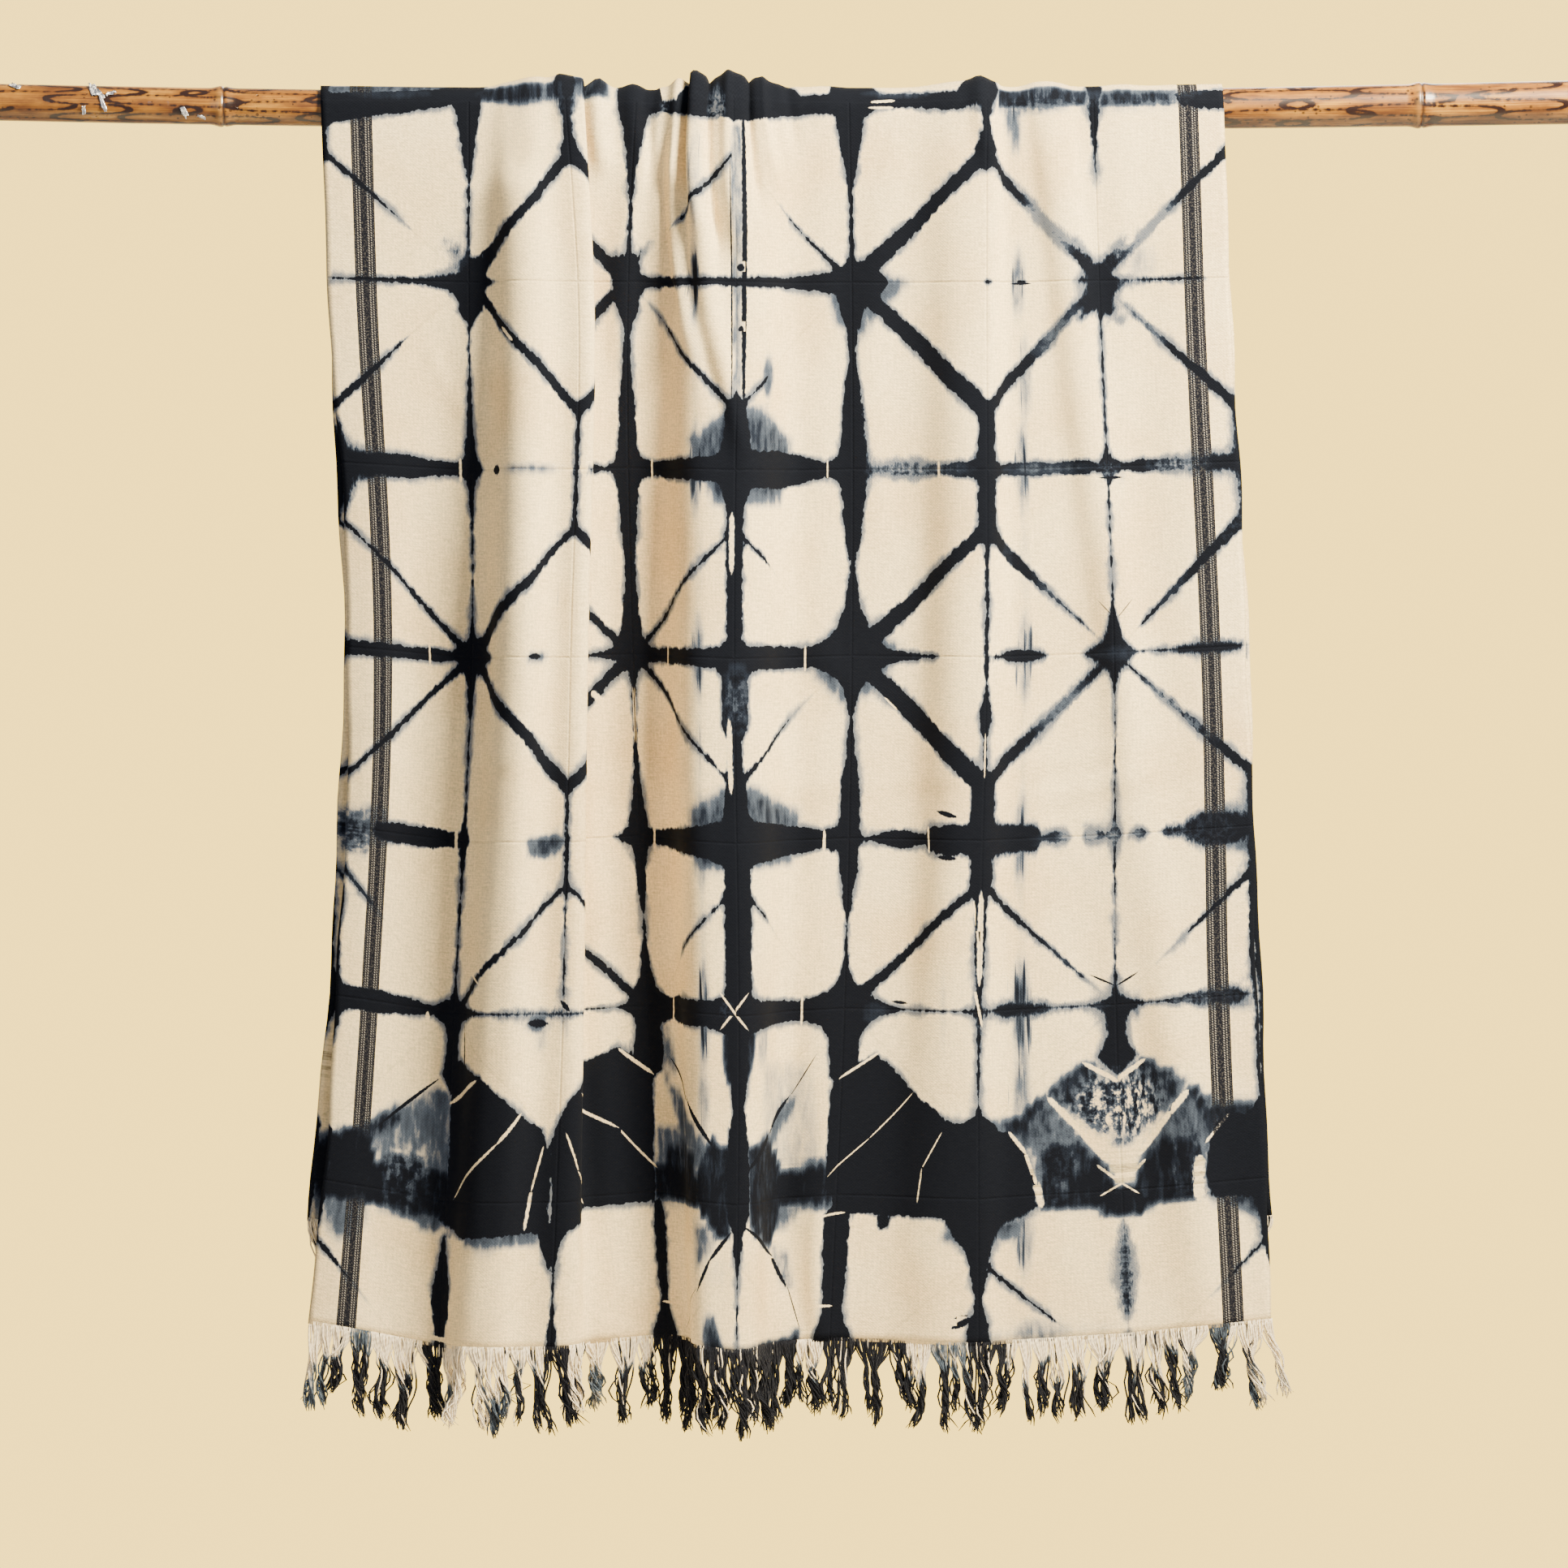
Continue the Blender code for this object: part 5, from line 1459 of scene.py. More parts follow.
    def stroke_places(
        self, strokes: list[tuple[float, float, float, float, float]], across: np.ndarray, down: np.ndarray
    ) -> np.ndarray:
        """Give each face's corners their place on the face's nearest stroke.

        Args:
            strokes: from, to and half width of each stroke.
            across: flat place across of each corner, one row for each face.
            down: distance from the pole's top of each corner.

        Returns:
            Place across and along the stroke, in its half width and half length.
        """
        middle_across, middle_down = across.mean(axis=1), down.mean(axis=1)
        best = np.full(len(across), self.far)
        places = np.full(across.shape + (2,), self.far)
        for start_u, start_s, stop_u, stop_s, half in strokes:
            run = np.array((stop_u - start_u, stop_s - start_s), dtype=float)
            long = max(math.hypot(*run), 0.5)
            run /= long
            centre = (0.5 * (start_u + stop_u), 0.5 * (start_s + stop_s))
            reach = 0.5 * long + half
            aside, ahead = along_stroke(middle_across, middle_down, centre, run)
            off = np.hypot(np.maximum(np.abs(aside) - half, 0.0), np.maximum(np.abs(ahead) - reach, 0.0))
            near = off < best
            best = np.where(near, off, best)
            aside, ahead = along_stroke(across[near], down[near], centre, run)
            places[near] = np.stack((aside / half, ahead / reach), axis=-1)
        return places


def add_piece(name: str, mesh: bpy.types.Mesh, finish: bpy.types.Material) -> bpy.types.Object:
    """Put a mesh in the scene as a piece that rides on the body.

    Args:
        name: name of the piece.
        mesh: its final mesh.
        finish: its material.

    Returns:
        The piece.
    """
    piece = bpy.data.objects.new(name, mesh)
    bpy.context.scene.collection.objects.link(piece)
    mesh.materials.append(finish)
    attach(piece, "root")
    LOG.info("%s: %d faces", name, len(mesh.polygons))
    return piece


def grid_faces(rows: int, columns: int, closed: bool) -> np.ndarray:
    """Return the corners of a grid's faces.

    Args:
        rows: number of rows of points.
        columns: points in each row.
        closed: whether each row runs round.

    Returns:
        Four corners for each face.
    """
    row, column = np.meshgrid(
        np.arange(rows - 1), np.arange(columns if closed else columns - 1), indexing="ij"
    )
    after = (column + 1) % columns
    corners = (
        row * columns + column, row * columns + after, (row + 1) * columns + after,
        (row + 1) * columns + column
    )
    return np.stack(corners, axis=-1).reshape(-1, 4)


def fill_layer(mesh: bpy.types.Mesh, name: str, values: np.ndarray) -> None:
    """Fill a UV layer from one pair of values for each face corner."""
    layer = mesh.uv_layers.new(name=name)
    layer.data.foreach_set("uv", values.reshape(-1).astype(np.float32))


@dataclass(frozen=True)
class ClothSheet:
    """The cloth: one sheet over the pole, with its creases and its dye."""

    drape: Drape
    chart: DyeChart
    thickness: float = 1.2 * MM
    # Columns of points in each panel, closer where the cloth is gathered
    columns_in_panel: tuple[int, ...] = (24, 24, 32, 44, 44, 28, 28, 24)
    front_row: float = 9.2 * MM
    back_row: float = 26.0 * MM
    pole_row: float = 4.0 * MM
    edge_wave: float = 1.2 * MM

    def rows(self) -> list[float]:
        """Return the rows' distances from the pole's top, the back's below zero."""
        knots = [0.0] + [row * MM for row in self.chart.rows]
        places = set()
        for side, row, sense in ((Side.FRONT, self.front_row, 1.0), (Side.BACK, self.back_row, -1.0)):
            length = self.drape.length(side)
            stops = [knot for knot in knots if knot < length] + [self.drape.quarter(), length]
            stops = sorted(stops)
            for start, stop in zip(stops, stops[1:]):
                gap = self.pole_row if stop < 0.031 else row
                count = max(1, math.ceil((stop - start) / gap))
                places.update(round(sense * float(place), 6) for place in np.linspace(start, stop, count + 1))
        return sorted(places, reverse=True)

    def build(self, finish: bpy.types.Material) -> bpy.types.Object:
        """Make the cloth.

        Args:
            finish: the dyed cotton.

        Returns:
            The finished piece.
        """
        parts = [
            np.linspace(panel, panel + 1.0, count + 1)[:-1] for panel, count in enumerate(
                self.columns_in_panel
            )
        ]
        flat = np.append(np.concatenate(parts), self.drape.panels) * self.drape.panel_width
        rows = self.rows()
        grid = []
        for distance in rows:
            side = Side.BACK if distance < 0.0 else Side.FRONT
            grid.append(self.drape.points(flat, abs(distance), side))
        grid = np.array(grid)
        across, down = np.meshgrid(flat, rows)
        grid = self.lay_creases(grid, across / MM, down / MM)
        mesh = bpy.data.meshes.new("cloth_sheet")
        faces = grid_faces(len(rows), len(flat), False)
        mesh.from_pydata(grid.reshape(-1, 3).tolist(), [], faces.tolist())
        mesh.shade_smooth()
        self.chart_dye(mesh, faces, across.reshape(-1) / MM, down.reshape(-1) / MM)
        piece = add_piece("cloth_sheet", mesh, finish)
        shell = piece.modifiers.new("thickness", "SOLIDIFY")
        shell.thickness = self.thickness
        shell.offset = 0.0
        shell.use_rim = True
        return piece

    def lay_creases(self, grid: np.ndarray, across: np.ndarray, down: np.ndarray) -> np.ndarray:
        """Raise and sink the soft creases along the cloth's own normal.

        Args:
            grid: the cloth's points, row by row.
            across: flat place across of each point in millimetres.
            down: distance from the pole's top of each point, below zero at the back.

        Returns:
            The moved points.
        """
        run_across = np.gradient(grid, axis=1)
        run_down = np.gradient(grid, axis=0)
        normal = np.cross(run_across, run_down)
        normal /= np.linalg.norm(normal, axis=2, keepdims=True)
        lift = np.zeros(across.shape)
        for start_u, start_s, stop_u, stop_s, half, high in CREASES:
            run = np.array((stop_u - start_u, stop_s - start_s), dtype=float)
            long = math.hypot(*run)
            run /= long
            ahead = ((across - start_u) * run[0] + (down - start_s) * run[1]) / long
            aside = (across - start_u) * run[1] - (down - start_s) * run[0]
            bow = aside + 0.05 * long * np.sin(math.pi * np.clip(ahead, 0.0, 1.0))
            ends = lobe(np.clip(0.12 - np.minimum(ahead, 1.0 - ahead), 0.0, 1.0) / 0.24)
            lift += high * MM * np.exp(-((bow / half) ** 2)) * ends
        waver = np.sin(down / 47.0) + 0.6 * np.sin(down / 19.0 + 1.3)
        side = np.exp(-across / 14.0) - np.exp(-(across[0, -1] - across) / 14.0)
        grid = grid + normal * lift[..., None]
        pole = self.drape.pole
        axis = pole.height(grid[..., 0])
        seat = pole.radius(grid[..., 0]) + pole.swelling(grid[..., 0], 2.0 * pole.half_width)
        seat += self.drape.clearance + 0.6 * self.thickness
        push = np.maximum(seat / np.hypot(grid[..., 1], grid[..., 2] - axis), 1.0)
        grid[..., 1] *= push
        grid[..., 2] = axis + (grid[..., 2] - axis) * push
        hang = np.clip((np.abs(down) - 60.0) / 200.0, 0.0, 1.0)
        grid[..., 0] += self.edge_wave * waver * np.abs(side) * hang
        return grid

    def chart_dye(
        self, mesh: bpy.types.Mesh, faces: np.ndarray, across: np.ndarray, down: np.ndarray
    ) -> None:
        """Write the dye chart on the mesh.

        Args:
            mesh: the cloth's mesh.
            faces: its faces' corners.
            across: flat place across of each point in millimetres.
            down: distance from the pole's top of each point, below zero at the back.
        """
        depth = np.abs(down)
        chart = self.chart
        soft = chart.spots(SOFT_EDGES, across, depth)
        comb = chart.spots(COMBS, across, depth)
        tint = np.maximum(chart.spots(SOFT_TINTS, across, depth), chart.washed(across, depth))
        speckle = chart.spots(MOTTLED, across, depth)
        thin = chart.spots(THIN_DYE, across, depth)
        for name, values in (
            ("dye_line", (chart.edge(across, depth), soft, comb)),
            ("dye_tone", (tint, speckle, thin)),
        ):
            layer = mesh.attributes.new(name, "FLOAT_VECTOR", "POINT")
            layer.data.foreach_set("vector", np.stack(values, axis=-1).reshape(-1).astype(np.float32))
        flat = np.stack((across * MM, self.drape.front_length - down * MM), axis=-1)
        folded = np.abs((across / chart.panel + 1.0) % 2.0 - 1.0)
        folded = 1.0 - folded
        order = np.interp(depth, chart.rows, np.arange(len(chart.rows)))
        folded_down = 1.0 - np.abs((order + 1.0) % 2.0 - 1.0)
        mirror = np.stack((folded * chart.panel * MM, folded_down * chart.row_gap * MM), axis=-1)
        corners_across, corners_down = across[faces], depth[faces]
        fill_layer(mesh, "flat", flat[faces])
        fill_layer(mesh, "mirror", mirror[faces])
        fill_layer(mesh, "slant", np.stack(chart.slants(across, depth), axis=-1)[faces])
        fill_layer(mesh, "resist", chart.stroke_places(chart.ties(), corners_across, corners_down))
        fill_layer(mesh, "marks", chart.stroke_places(list(SMALL_MARKS), corners_across, corners_down))


@dataclass(frozen=True)
class FringeRow:
    """One hem's fringe: warp ends gathered in uneven locks, each of a few twisted cords."""

    drape: Drape
    side: Side
    yarn_gap: float = 0.75 * MM
    # Yarn radius: the real yarn is 0.35 mm, drawn thicker so that single threads show
    yarn_radius: float = 0.80 * MM
    steps: int = 11
    sides: int = 4
    root: float = 3.0 * MM
    mean_length: float = 0.065
    uneven: float = 0.007
    splay: float = 0.020
    splay_reach: float = 0.030
    stray_share: float = 0.07

    def build(self, name: str, finish: bpy.types.Material) -> bpy.types.Object:
        """Make the fringe.

        Args:
            name: name of the piece.
            finish: the dyed yarn.

        Returns:
            The finished piece.
        """
        chance = np.random.default_rng(FRINGE_SEED + (1 if self.side is Side.BACK else 0))
        width = self.drape.panels * self.drape.panel_width
        roots = np.arange(0.5 * self.yarn_gap, width, self.yarn_gap)
        roots = roots + chance.uniform(-0.4, 0.4, len(roots)) * self.yarn_gap
        roots = np.clip(roots, 0.001, width - 0.001)
        length = self.drape.length(self.side)
        start = self.drape.points(roots, length - self.root, self.side)
        leave = self.drape.points(roots, length + 2.0 * MM, self.side)
        cords = self.cords(chance, width)
        owner = np.argmin(
            np.abs(roots[:, None] + chance.normal(0.0, 1.6 * MM, (len(roots), 1)) - cords[None, :, 0]),
            axis=1
        )
        paths = self.paths(chance, roots, start, leave, cords, owner)
        return self.tubes(name, finish, paths, self.dye(chance, roots, cords, owner))

    def cords(self, chance: np.random.Generator, width: float) -> np.ndarray:
        """Lay out the locks and their cords along the hem.

        Args:
            chance: seeded random numbers.
            width: flat width of the hem.

        Returns:
            For each cord its root, foot, sway, length, lift, and the size, turns and start of its bend.
        """
        rows = []
        place = 0.0
        while place < width:
            wide = float(chance.uniform(11.0, 30.0)) * MM
            count = int(chance.integers(2, 4)) if wide > 17.0 * MM else int(chance.integers(1, 3))
            sway = chance.normal(0.0, 4.0) * MM
            level = chance.normal(0.0, 1.0)
            for cord in range(count):
                share = (cord + 0.5) / count
                spread = (share - 0.5) * 5.5 * MM * (count - 1)
                foot = place + wide * 0.5 + spread + chance.normal(0.0, 1.2) * MM
                rows.append(
                    (
                        place + wide * share, foot, sway + chance.normal(0.0, 3.0) * MM,
                        0.7 * level + chance.normal(0.0, 0.8), chance.normal(0.0, 2.6) * MM,
                        chance.uniform(0.8, 3.6) * MM, chance.uniform(0.6, 1.5), chance.uniform(
                            0.0, 2.0 * math.pi
                        ),
                    )
                )
            place += wide
        return np.array(rows)

    def paths(
        self,
        chance: np.random.Generator,
        roots: np.ndarray,
        start: np.ndarray,
        leave: np.ndarray,
        cords: np.ndarray,
        owner: np.ndarray,
    ) -> np.ndarray:
        """Hang every yarn.

        Args:
            chance: seeded random numbers.
            roots: flat place of each yarn.
            start: where it starts inside the hem.
            leave: where it leaves the hem.
            cords: the cords' table.
            owner: cord of each yarn.

        Returns:
            Points along each yarn.
        """
        count = len(roots)
        share = np.linspace(0.0, 1.0, self.steps)[None, :]
        x_of = np.interp(cords[:, 1], roots, leave[:, 0])
        y_of = np.interp(cords[:, 1], roots, leave[:, 1])
        width = roots[-1] + roots[0]
        splay = self.splay * (np.exp(-(width - roots) / self.splay_reach) - np.exp(-roots / self.splay_reach))
        stray = chance.random(count) < self.stray_share
        pull = np.where(stray, chance.uniform(0.2, 0.6, count), chance.uniform(0.92, 1.0, count))[:, None]
        long = self.mean_length + self.uneven * cords[owner, 3] + chance.normal(0.0, 2.2, count) * MM
        long = np.clip(long, 0.036, self.mean_length + 0.012)[:, None]
        gather = pull * np.sin(0.5 * math.pi * np.clip(share / 0.46, 0.0, 1.0)) ** 1.5
        bend = cords[owner, 5][:, None] * np.clip(share * 1.8, 0.0, 1.0)
        bend = bend * np.sin(2.0 * math.pi * cords[owner, 6][:, None] * share + cords[owner, 7][:, None])
        ply = chance.uniform(0.0, 2.0 * math.pi, (count, 1))
        twist = ply + 2.0 * math.pi * 1.3 * share
        off = np.abs(chance.normal(0.0, 2.2, (count, 1))) * MM * (0.4 + 0.6 * gather + 0.8 * share**5)
        loose = np.where(stray, chance.gamma(2.0, 1.4, count), 0.25)[:, None] * MM * np.clip(
            share * 1.6, 0.0, 1.0
        )
        turns = chance.uniform(0.8, 2.6, (count, 1))
        x = leave[:, :1] + (x_of[owner] - leave[:, 0])[:, None] * gather + off * np.cos(twist)
        x = x + (cords[owner, 2] + splay)[:, None] * share**1.3 + bend
        x = x + loose * np.sin(turns * 2.0 * math.pi * share + ply)
        y = leave[:, 1:2] + (y_of[owner] - leave[:, 1])[:, None] * gather + off * np.sin(twist)
        y = y + cords[owner, 4][:, None] * share + loose * np.cos(turns * 1.7 * math.pi * share + ply)
        z = leave[:, 2:3] - long * share * (1.0 - 0.04 * np.abs(np.sin(ply)) * share)
        body = np.stack((x, y, z), axis=-1)
        return np.concatenate((start[:, None, :], body), axis=1)

    def dye(
        self, chance: np.random.Generator, roots: np.ndarray, cords: np.ndarray, owner: np.ndarray
    ) -> np.ndarray:
        """Dye the yarns.

        Args:
            chance: seeded random numbers.
            roots: flat place of each yarn.
            cords: the cords' table.
            owner: cord of each yarn.

        Returns:
            The dye of each yarn at every point along it.
        """
        table = np.array(FRINGE_DYE)
        reach = np.clip(np.searchsorted(table[:, 0] * MM, 0.5 * (roots + cords[owner, 0])), 0, len(table) - 1)
        high = table[reach, 1][:, None]
        low = table[reach, 2][:, None]
        share = np.linspace(-0.05, 1.0, self.steps + 1)[None, :]
        turn = 0.42 + 0.13 * np.sin(7.0 * cords[owner, 7])[:, None] + chance.normal(
            0.0, 0.05, (len(roots), 1)
        )
        blend = np.clip((share - turn) / 0.22 + 0.5, 0.0, 1.0)
        dye = high * (1.0 - blend) + low * blend
        odd = chance.random((len(roots), 1))
        return np.clip(np.where(odd < 0.05, 1.0 - dye, dye) + chance.normal(0.0, 0.04, dye.shape), 0.0, 1.0)

    def tubes(
        self, name: str, finish: bpy.types.Material, paths: np.ndarray, dyes: np.ndarray
    ) -> bpy.types.Object:
        """Skin the yarns as closed tubes in one mesh.

        Args:
            name: name of the piece.
            finish: the dyed yarn.
            paths: points along each yarn.
            dyes: dye at each point.

        Returns:
            The finished piece.
        """
        count, rings, _ = paths.shape
        turn = np.linspace(0.0, 2.0 * math.pi, self.sides, endpoint=False)
        taper = np.ones(rings)
        taper[-1] = 0.35
        ring = np.stack((np.cos(turn), np.sin(turn), np.zeros(self.sides)), axis=-1) * self.yarn_radius
        points = paths[:, :, None, :] + ring[None, None] * taper[None, :, None, None]
        one = grid_faces(rings, self.sides, True)[:, ::-1]
        offsets = (np.arange(count) * rings * self.sides)[:, None, None]
        quads = (one[None] + offsets).reshape(-1, 4)
        caps = []
        for first in (0, (rings - 1) * self.sides):
            corners = np.arange(self.sides) + first
            caps.append(corners if first == 0 else corners[::-1])
        caps = (np.array(caps)[None] + offsets).reshape(-1, self.sides)
        mesh = bpy.data.meshes.new(name)
        mesh.from_pydata(points.reshape(-1, 3).tolist(), [], quads.tolist() + caps.tolist())
        mesh.shade_smooth()
        layer = mesh.attributes.new("yarn_dye", "FLOAT", "POINT")
        layer.data.foreach_set("value", np.repeat(dyes.reshape(-1), self.sides).astype(np.float32))
        run = np.cumsum(np.linalg.norm(np.diff(paths, axis=1), axis=2), axis=1)
        shift = 0.37 * MM * np.arange(count)[:, None] % 0.05
        run = np.concatenate((np.zeros((count, 1)), run), axis=1) + shift
        ply = np.stack(
            (
                np.broadcast_to(turn * self.yarn_radius, (count, rings, self.sides)),
                np.broadcast_to(run[..., None], (count, rings, self.sides))
            ),
            axis=-1,
        ).reshape(-1, 2)
        loops = np.zeros(len(mesh.loops), dtype=np.int32)
        mesh.loops.foreach_get("vertex_index", loops)
        fill_layer(mesh, "ply", ply[loops])
        return add_piece(name, mesh, finish)


@dataclass(frozen=True)
class BambooPole:
    """The culm: swollen nodes with a ridge and a groove, and sawn, hollow ends."""

    form: PoleForm
    sides: int = 96
    ring_gap: float = 3.4 * MM
    node_gap: float = 0.7 * MM
    node_reach: float = 15.0 * MM
    ridge: float = 0.35 * MM
    ridge_half: float = 2.6 * MM
    ridge_off: float = 3.0 * MM
    groove: float = 0.9 * MM
    groove_half: float = 1.2 * MM
    groove_off: float = 1.1 * MM
    wall: float = 4.2 * MM
    hollow: float = 0.032
    chamfer: float = 0.5 * MM
    scorch_seed: int = 5
    sweeps: int = 12
    scorch_gap: float = 0.058

    def stations(self) -> np.ndarray:
        """Return the rings' places along the culm, closer at the nodes."""
        half = 0.5 * self.form.length
        places = list(np.linspace(-half, half, int(self.form.length / self.ring_gap) + 1))
        for node in self.form.nodes():
            places = [place for place in places if abs(place - node) > self.node_reach]
            places += list(np.arange(node - self.node_reach, node + self.node_reach, self.node_gap))
        places += [-half + self.chamfer, half - self.chamfer]
        return np.array(sorted(places))

    def build(self, skin: bpy.types.Material, sawn: bpy.types.Material) -> bpy.types.Object:
        """Make the culm.

        Args:
            skin: scorched skin.
            sawn: cut ends.

        Returns:
            The finished piece.
        """
        half = 0.5 * self.form.length
        x = self.stations()
        radius = self.form.radius(x) + self.form.swelling(x, self.form.half_width)
        ridge = np.zeros_like(x)
        groove = np.zeros_like(x)
        for node in self.form.nodes():
            ridge += np.exp(-(((x - node + self.ridge_off) / self.ridge_half) ** 2))
            groove += np.exp(-(((x - node - self.groove_off) / self.groove_half) ** 2))
        radius = radius + self.ridge * ridge - self.groove * groove
        radius[0] -= self.chamfer
        radius[-1] -= self.chamfer
        bore = float(self.form.radius(np.array(-half))) - self.wall
        bore_right = float(self.form.radius(np.array(half))) - self.wall
        left = [
            (-half + self.hollow, 0.002, 1), (-half + self.hollow, bore - 0.001, 1),
            (-half + 0.001, bore, 1)
        ]
        left += [(-half, bore + 0.0005, 1)]
        right = [(half, bore_right + 0.0005, 1), (half - 0.001, bore_right, 1)]
        right += [(half - self.hollow, bore_right - 0.001, 1), (half - self.hollow, 0.002, 1)]
        zeros_left, zeros_right = np.zeros(len(left)), np.zeros(len(right))
        x_all = np.concatenate(([row[0] for row in left], x, [row[0] for row in right]))
        r_all = np.concatenate(([row[1] for row in left], radius, [row[1] for row in right]))
        ridge = np.concatenate((zeros_left, ridge, zeros_right))
        groove = np.concatenate((zeros_left, groove, zeros_right))
        turn = np.linspace(0.0, 2.0 * math.pi, self.sides, endpoint=False)
        points = np.stack(
            (
                np.repeat(x_all[:, None], self.sides, axis=1),
                -r_all[:, None] * np.sin(turn),
                r_all[:, None] * np.cos(turn) + self.form.height(x_all)[:, None],
            ),
            axis=-1,
        )
        faces = grid_faces(len(x_all), self.sides, True)[:, ::-1]
        caps = [
            list(range(self.sides)),
            list(range((len(x_all) - 1) * self.sides, len(x_all) * self.sides))[::-1]
        ]
        mesh = bpy.data.meshes.new("bamboo_culm")
        mesh.from_pydata(points.reshape(-1, 3).tolist(), [], faces.tolist() + caps)
        mesh.materials.append(skin)
        piece_slots = np.zeros(len(mesh.polygons), dtype=np.int32)
        cut_left = (len(left)) * self.sides
        cut_right = (len(left) + len(x) - 1) * self.sides
        piece_slots[:cut_left] = 1
        piece_slots[cut_right:] = 1
        mesh.polygons.foreach_set("material_index", piece_slots)
        self.mark(mesh, x_all, turn, ridge, groove)
        mesh.shade_smooth()
        mesh.set_sharp_from_angle(angle=math.radians(50.0))
        mesh.materials.clear()
        piece = add_piece("bamboo_culm", mesh, skin)
        mesh.materials.append(sawn)
        mesh.polygons.foreach_set("material_index", piece_slots)
        return piece

    def mark(
        self, mesh: bpy.types.Mesh, x: np.ndarray, turn: np.ndarray, ridge: np.ndarray, groove: np.ndarray
    ) -> None:
        """Burn the zigzag strokes into the skin and colour the nodes.

        Args:
            mesh: the culm's mesh.
            x: place of each ring along the culm.
            turn: angle of each point round a ring.
            ridge: share of the nodes' ridge at each ring.
            groove: share of the nodes' groove at each ring.
        """
        girth = np.broadcast_to(turn[None, :] * self.form.middle_radius, (len(x), len(turn)))
        along_it = np.broadcast_to(x[:, None], girth.shape)
        burn = np.full(girth.shape, 20.0)
        whole = 2.0 * math.pi * self.form.middle_radius
        for path in self.scorch_paths():
            near = np.abs(along_it - path[:, 0].mean()) < 0.5 * np.ptp(path[:, 0]) + 0.006
            for place_x, place_g, half in path:
                away = (girth[near] - place_g + 0.5 * whole) % whole - 0.5 * whole
                off = np.hypot((along_it[near] - place_x) * 0.5, away) / MM - half
                burn[near] = np.minimum(burn[near], off)
        values = np.stack(
            (
                burn, np.broadcast_to(0.35 * ridge[:, None], burn.shape),
                np.broadcast_to(0.85 * groove[:, None], burn.shape)
            ),
            axis=-1,
        )
        layer = mesh.attributes.new("culm", "FLOAT_VECTOR", "POINT")
        layer.data.foreach_set("vector", values.reshape(-1).astype(np.float32))
        skin = np.stack((along_it, girth), axis=-1).reshape(-1, 2)
        loops = np.zeros(len(mesh.loops), dtype=np.int32)
        mesh.loops.foreach_get("vertex_index", loops)
        fill_layer(mesh, "skin", skin[loops])

    def scorch_paths(self) -> list[np.ndarray]:
        """Return the flame's zigzag strokes: place along, place round and half width of each point."""
        chance = np.random.default_rng(self.scorch_seed)
        whole = 2.0 * math.pi * self.form.middle_radius
        paths = []
        place = -0.5 * self.form.length + 0.02
        while place < 0.5 * self.form.length:
            sweeps = self.sweeps
            turn = np.linspace(0.0, sweeps, sweeps * 24 + 1)
            tips = place + np.where(np.arange(sweeps + 2) % 2, 0.5, -0.5) * chance.uniform(
                0.045, 0.1, sweeps + 2
            )
            tips += chance.normal(0.0, 0.008, sweeps + 2)
            before = np.minimum(turn.astype(int), sweeps)
            share = 0.5 - 0.5 * np.cos(math.pi * (turn - before))
            x = tips[before] * (1.0 - share) + tips[before + 1] * share
            round_it = turn + 0.14 * np.sin(2.0 * math.pi * turn)
            steady = 0.5 + 0.5 * np.cos(2.0 * math.pi * turn)
            weight = 0.75 + 0.9 * steady**2 * chance.uniform(0.7, 1.15, sweeps + 2)[before]
            drop = (chance.random(sweeps + 2) < 0.12)[before]
            half = np.where(drop, -0.6, weight)
            level = chance.uniform(0.0, whole) + round_it * whole / sweeps
            paths.append(np.column_stack((x, level, half)))
            place += self.scorch_gap
        return paths


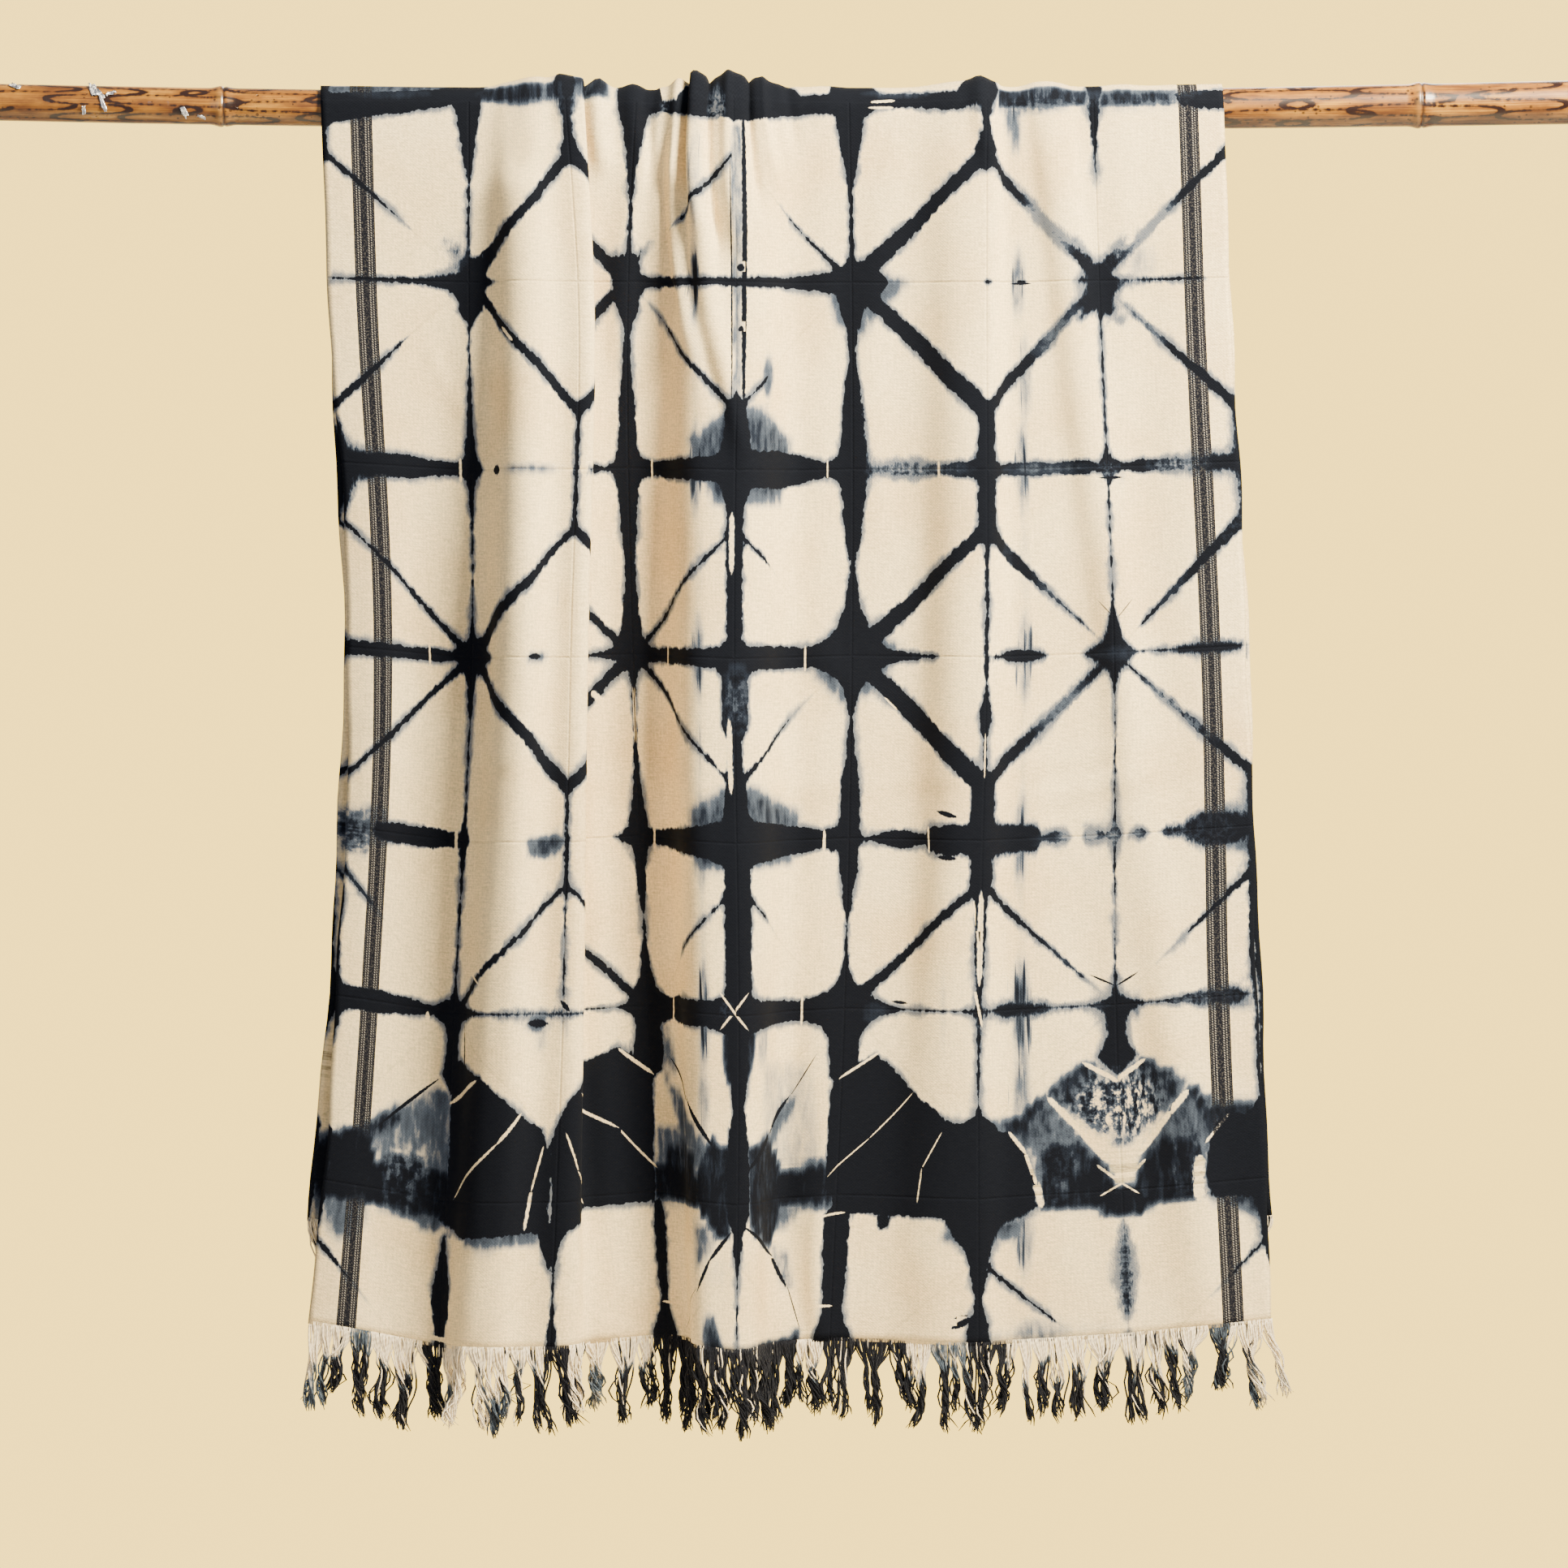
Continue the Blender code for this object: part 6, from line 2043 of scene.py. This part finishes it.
@dataclass(frozen=True)
class TapeFlakes:
    """Small torn flakes of tape left on the culm."""

    form: PoleForm
    # Place along the culm, turn from the top to the front in degrees, length, width, lean
    flakes: tuple[tuple[float, float, float, float, float], ...] = (
        (-0.681, 35.0, 0.011, 0.006, 0.5),
        (-0.612, 40.0, 0.016, 0.007, 1.3),
        (-0.606, 62.0, 0.012, 0.005, 0.9),
        (-0.603, 92.0, 0.014, 0.004, 1.2),
        (-0.596, 58.0, 0.009, 0.004, -0.4),
        (-0.620, 112.0, 0.007, 0.004, 1.5),
        (-0.531, 112.0, 0.009, 0.005, 1.1),
        (-0.516, 128.0, 0.008, 0.003, 0.4),
    )
    seed: int = 8
    thickness: float = 0.12 * MM

    def build(self, finish: bpy.types.Material) -> bpy.types.Object:
        """Make the flakes as one piece of crumpled strips.

        Args:
            finish: the torn tape.

        Returns:
            The finished piece.
        """
        chance = np.random.default_rng(self.seed)
        points: list[tuple[float, float, float]] = []
        faces: list[list[int]] = []
        for place, turn, long, wide, lean in self.flakes:
            rows, columns = 9, 5
            ahead, aside = np.meshgrid(
                np.linspace(-0.5, 0.5, rows), np.linspace(-0.5, 0.5, columns), indexing="ij"
            )
            aside = aside * (1.0 - 0.8 * np.abs(ahead) * chance.uniform(0.4, 1.0)) + chance.normal(
                0.0, 0.07, aside.shape
            )
            ahead = ahead + chance.normal(0.0, 0.03, ahead.shape)
            run = long * ahead
            side = wide * aside
            x = place + run * math.cos(lean) - side * math.sin(lean)
            arc = run * math.sin(lean) + side * math.cos(lean)
            radius = self.form.radius(x) + self.form.swelling(x, self.form.half_width)
            lift = 0.0006 + 0.0011 * np.abs(chance.normal(0.0, 1.0, x.shape)) * (0.3 + np.abs(ahead) * 1.6)
            angle = math.radians(turn) + arc / radius
            base = len(points)
            y = -(radius + lift) * np.sin(angle)
            z = (radius + lift) * np.cos(angle) + self.form.height(x)
            points += np.stack((x, y, z), axis=-1).reshape(-1, 3).tolist()
            faces += (grid_faces(rows, columns, False) + base).tolist()
        mesh = bpy.data.meshes.new("tape_flakes")
        mesh.from_pydata(points, [], faces)
        mesh.shade_smooth()
        piece = add_piece("tape_flakes", mesh, finish)
        shell = piece.modifiers.new("thickness", "SOLIDIFY")
        shell.thickness = self.thickness
        return piece


@dataclass(frozen=True)
class Studio:
    """Plain pale floor, soft light and the photograph's view."""

    floor_height: float = -1.75
    floor_radius: float = 1.5
    camera_distance: float = 8.0
    camera_height: float = -0.597
    view_width: float = 1.391
    sensor: float = 36.0
    room_colour: str = "F3F3F8"
    wall_colour: str = "FFD66C"
    room_light: float = 0.40
    wall_light: float = 3.4

    def build(self) -> None:
        """Set up the floor, the lights and the camera."""
        self.add_floor()
        self.add_light("key", (1.5, -1.5, 1.3), (0.0, 0.0, -0.3), 0.9, 440.0, "FFF1D6")
        self.add_light("fill", (-2.6, -3.2, 0.6), (0.0, 0.0, -0.3), 2.4, 30.0, "EEF1FF")
        self.add_light("back", (0.6, 2.8, 1.2), (0.0, 0.0, -0.5), 1.8, 60.0, "FFF8EE")
        self.add_air()
        data = bpy.data.cameras.new("photo_view")
        data.sensor_width = self.sensor
        data.lens = self.sensor * self.camera_distance / self.view_width
        camera = bpy.data.objects.new("photo_view", data)
        camera.location = (0.0, -self.camera_distance, self.camera_height)
        camera.rotation_euler = (0.5 * math.pi, 0.0, 0.0)
        bpy.context.scene.collection.objects.link(camera)
        bpy.context.scene.camera = camera

    def add_air(self) -> None:
        """Fill the room with soft light, brighter from the lit backdrop behind the cloth."""
        world = bpy.data.worlds.new("studio_air")
        world.use_nodes = True
        tree = world.node_tree
        tree.nodes.clear()
        heading = add_node(tree, "ShaderNodeTexCoord", output="Generated")
        heading = add_node(tree, "ShaderNodeSeparateXYZ", (heading,), output=1)
        share = add_node(
            tree, RANGE, {"Value": heading, "From Min": 0.75, "From Max": 0.95},
            interpolation_type="SMOOTHSTEP"
        )
        colour = add_node(
            tree, MIX, {0: share, 6: linear(self.room_colour), 7: linear(self.wall_colour)}, output=2,
            data_type="RGBA"
        )
        strength = add_node(
            tree, RANGE, {"Value": share, "To Min": self.room_light, "To Max": self.wall_light}
        )
        air = add_node(tree, "ShaderNodeBackground", {"Color": colour, "Strength": strength})
        add_node(tree, "ShaderNodeOutputWorld", (air,))
        bpy.context.scene.world = world

    def add_floor(self) -> None:
        """Lay a round pale floor well below the cloth."""
        turn = np.linspace(0.0, 2.0 * math.pi, 96, endpoint=False)
        radius, low = self.floor_radius, self.floor_height
        ring = [(radius * math.cos(angle), radius * math.sin(angle), low) for angle in turn]
        mesh = bpy.data.meshes.new("studio_floor")
        mesh.from_pydata(ring, [], [list(range(96))])
        floor = bpy.data.objects.new("studio_floor", mesh)
        mesh.materials.append(StudioFloor().build())
        bpy.context.scene.collection.objects.link(floor)

    def add_light(
        self,
        name: str,
        place: tuple[float, float, float],
        target: tuple[float, float, float],
        size: float,
        power: float,
        tint: str,
    ) -> None:
        """Hang a square soft light and aim it.

        Args:
            name: name of the light.
            place: where it hangs.
            target: what it is aimed at.
            size: its side.
            power: its power in watts.
            tint: its hex colour.
        """
        data = bpy.data.lights.new(name, "AREA")
        data.shape = "SQUARE"
        data.size = size
        data.energy = power
        data.color = linear(tint)[:3]
        lamp = bpy.data.objects.new(name, data)
        lamp.location = place
        lamp.rotation_euler = (Vector(target) - Vector(place)).to_track_quat("-Z", "Y").to_euler()
        bpy.context.scene.collection.objects.link(lamp)


def main() -> None:
    """Build the pole, the cloth and its fringes, and report each piece."""
    logging.basicConfig(level=logging.INFO, format="%(message)s")
    form = PoleForm()
    drape = Drape(form)
    culm = BambooPole(form).build(ScorchedBamboo().build(), SawnBamboo().build())
    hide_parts("pole")
    TapeFlakes(form).build(FoilTape().build())
    cloth = ClothSheet(drape, DyeChart()).build(ResistDyedCotton().build())
    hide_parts("cloth")
    yarn = FringeYarn().build()
    front = FringeRow(drape, Side.FRONT).build("front_fringe", yarn)
    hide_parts("fringe_front")
    back = FringeRow(drape, Side.BACK, splay=-0.012).build("back_fringe", yarn)
    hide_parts("fringe_back")
    Studio().build()


if __name__ == "__main__":
    main()
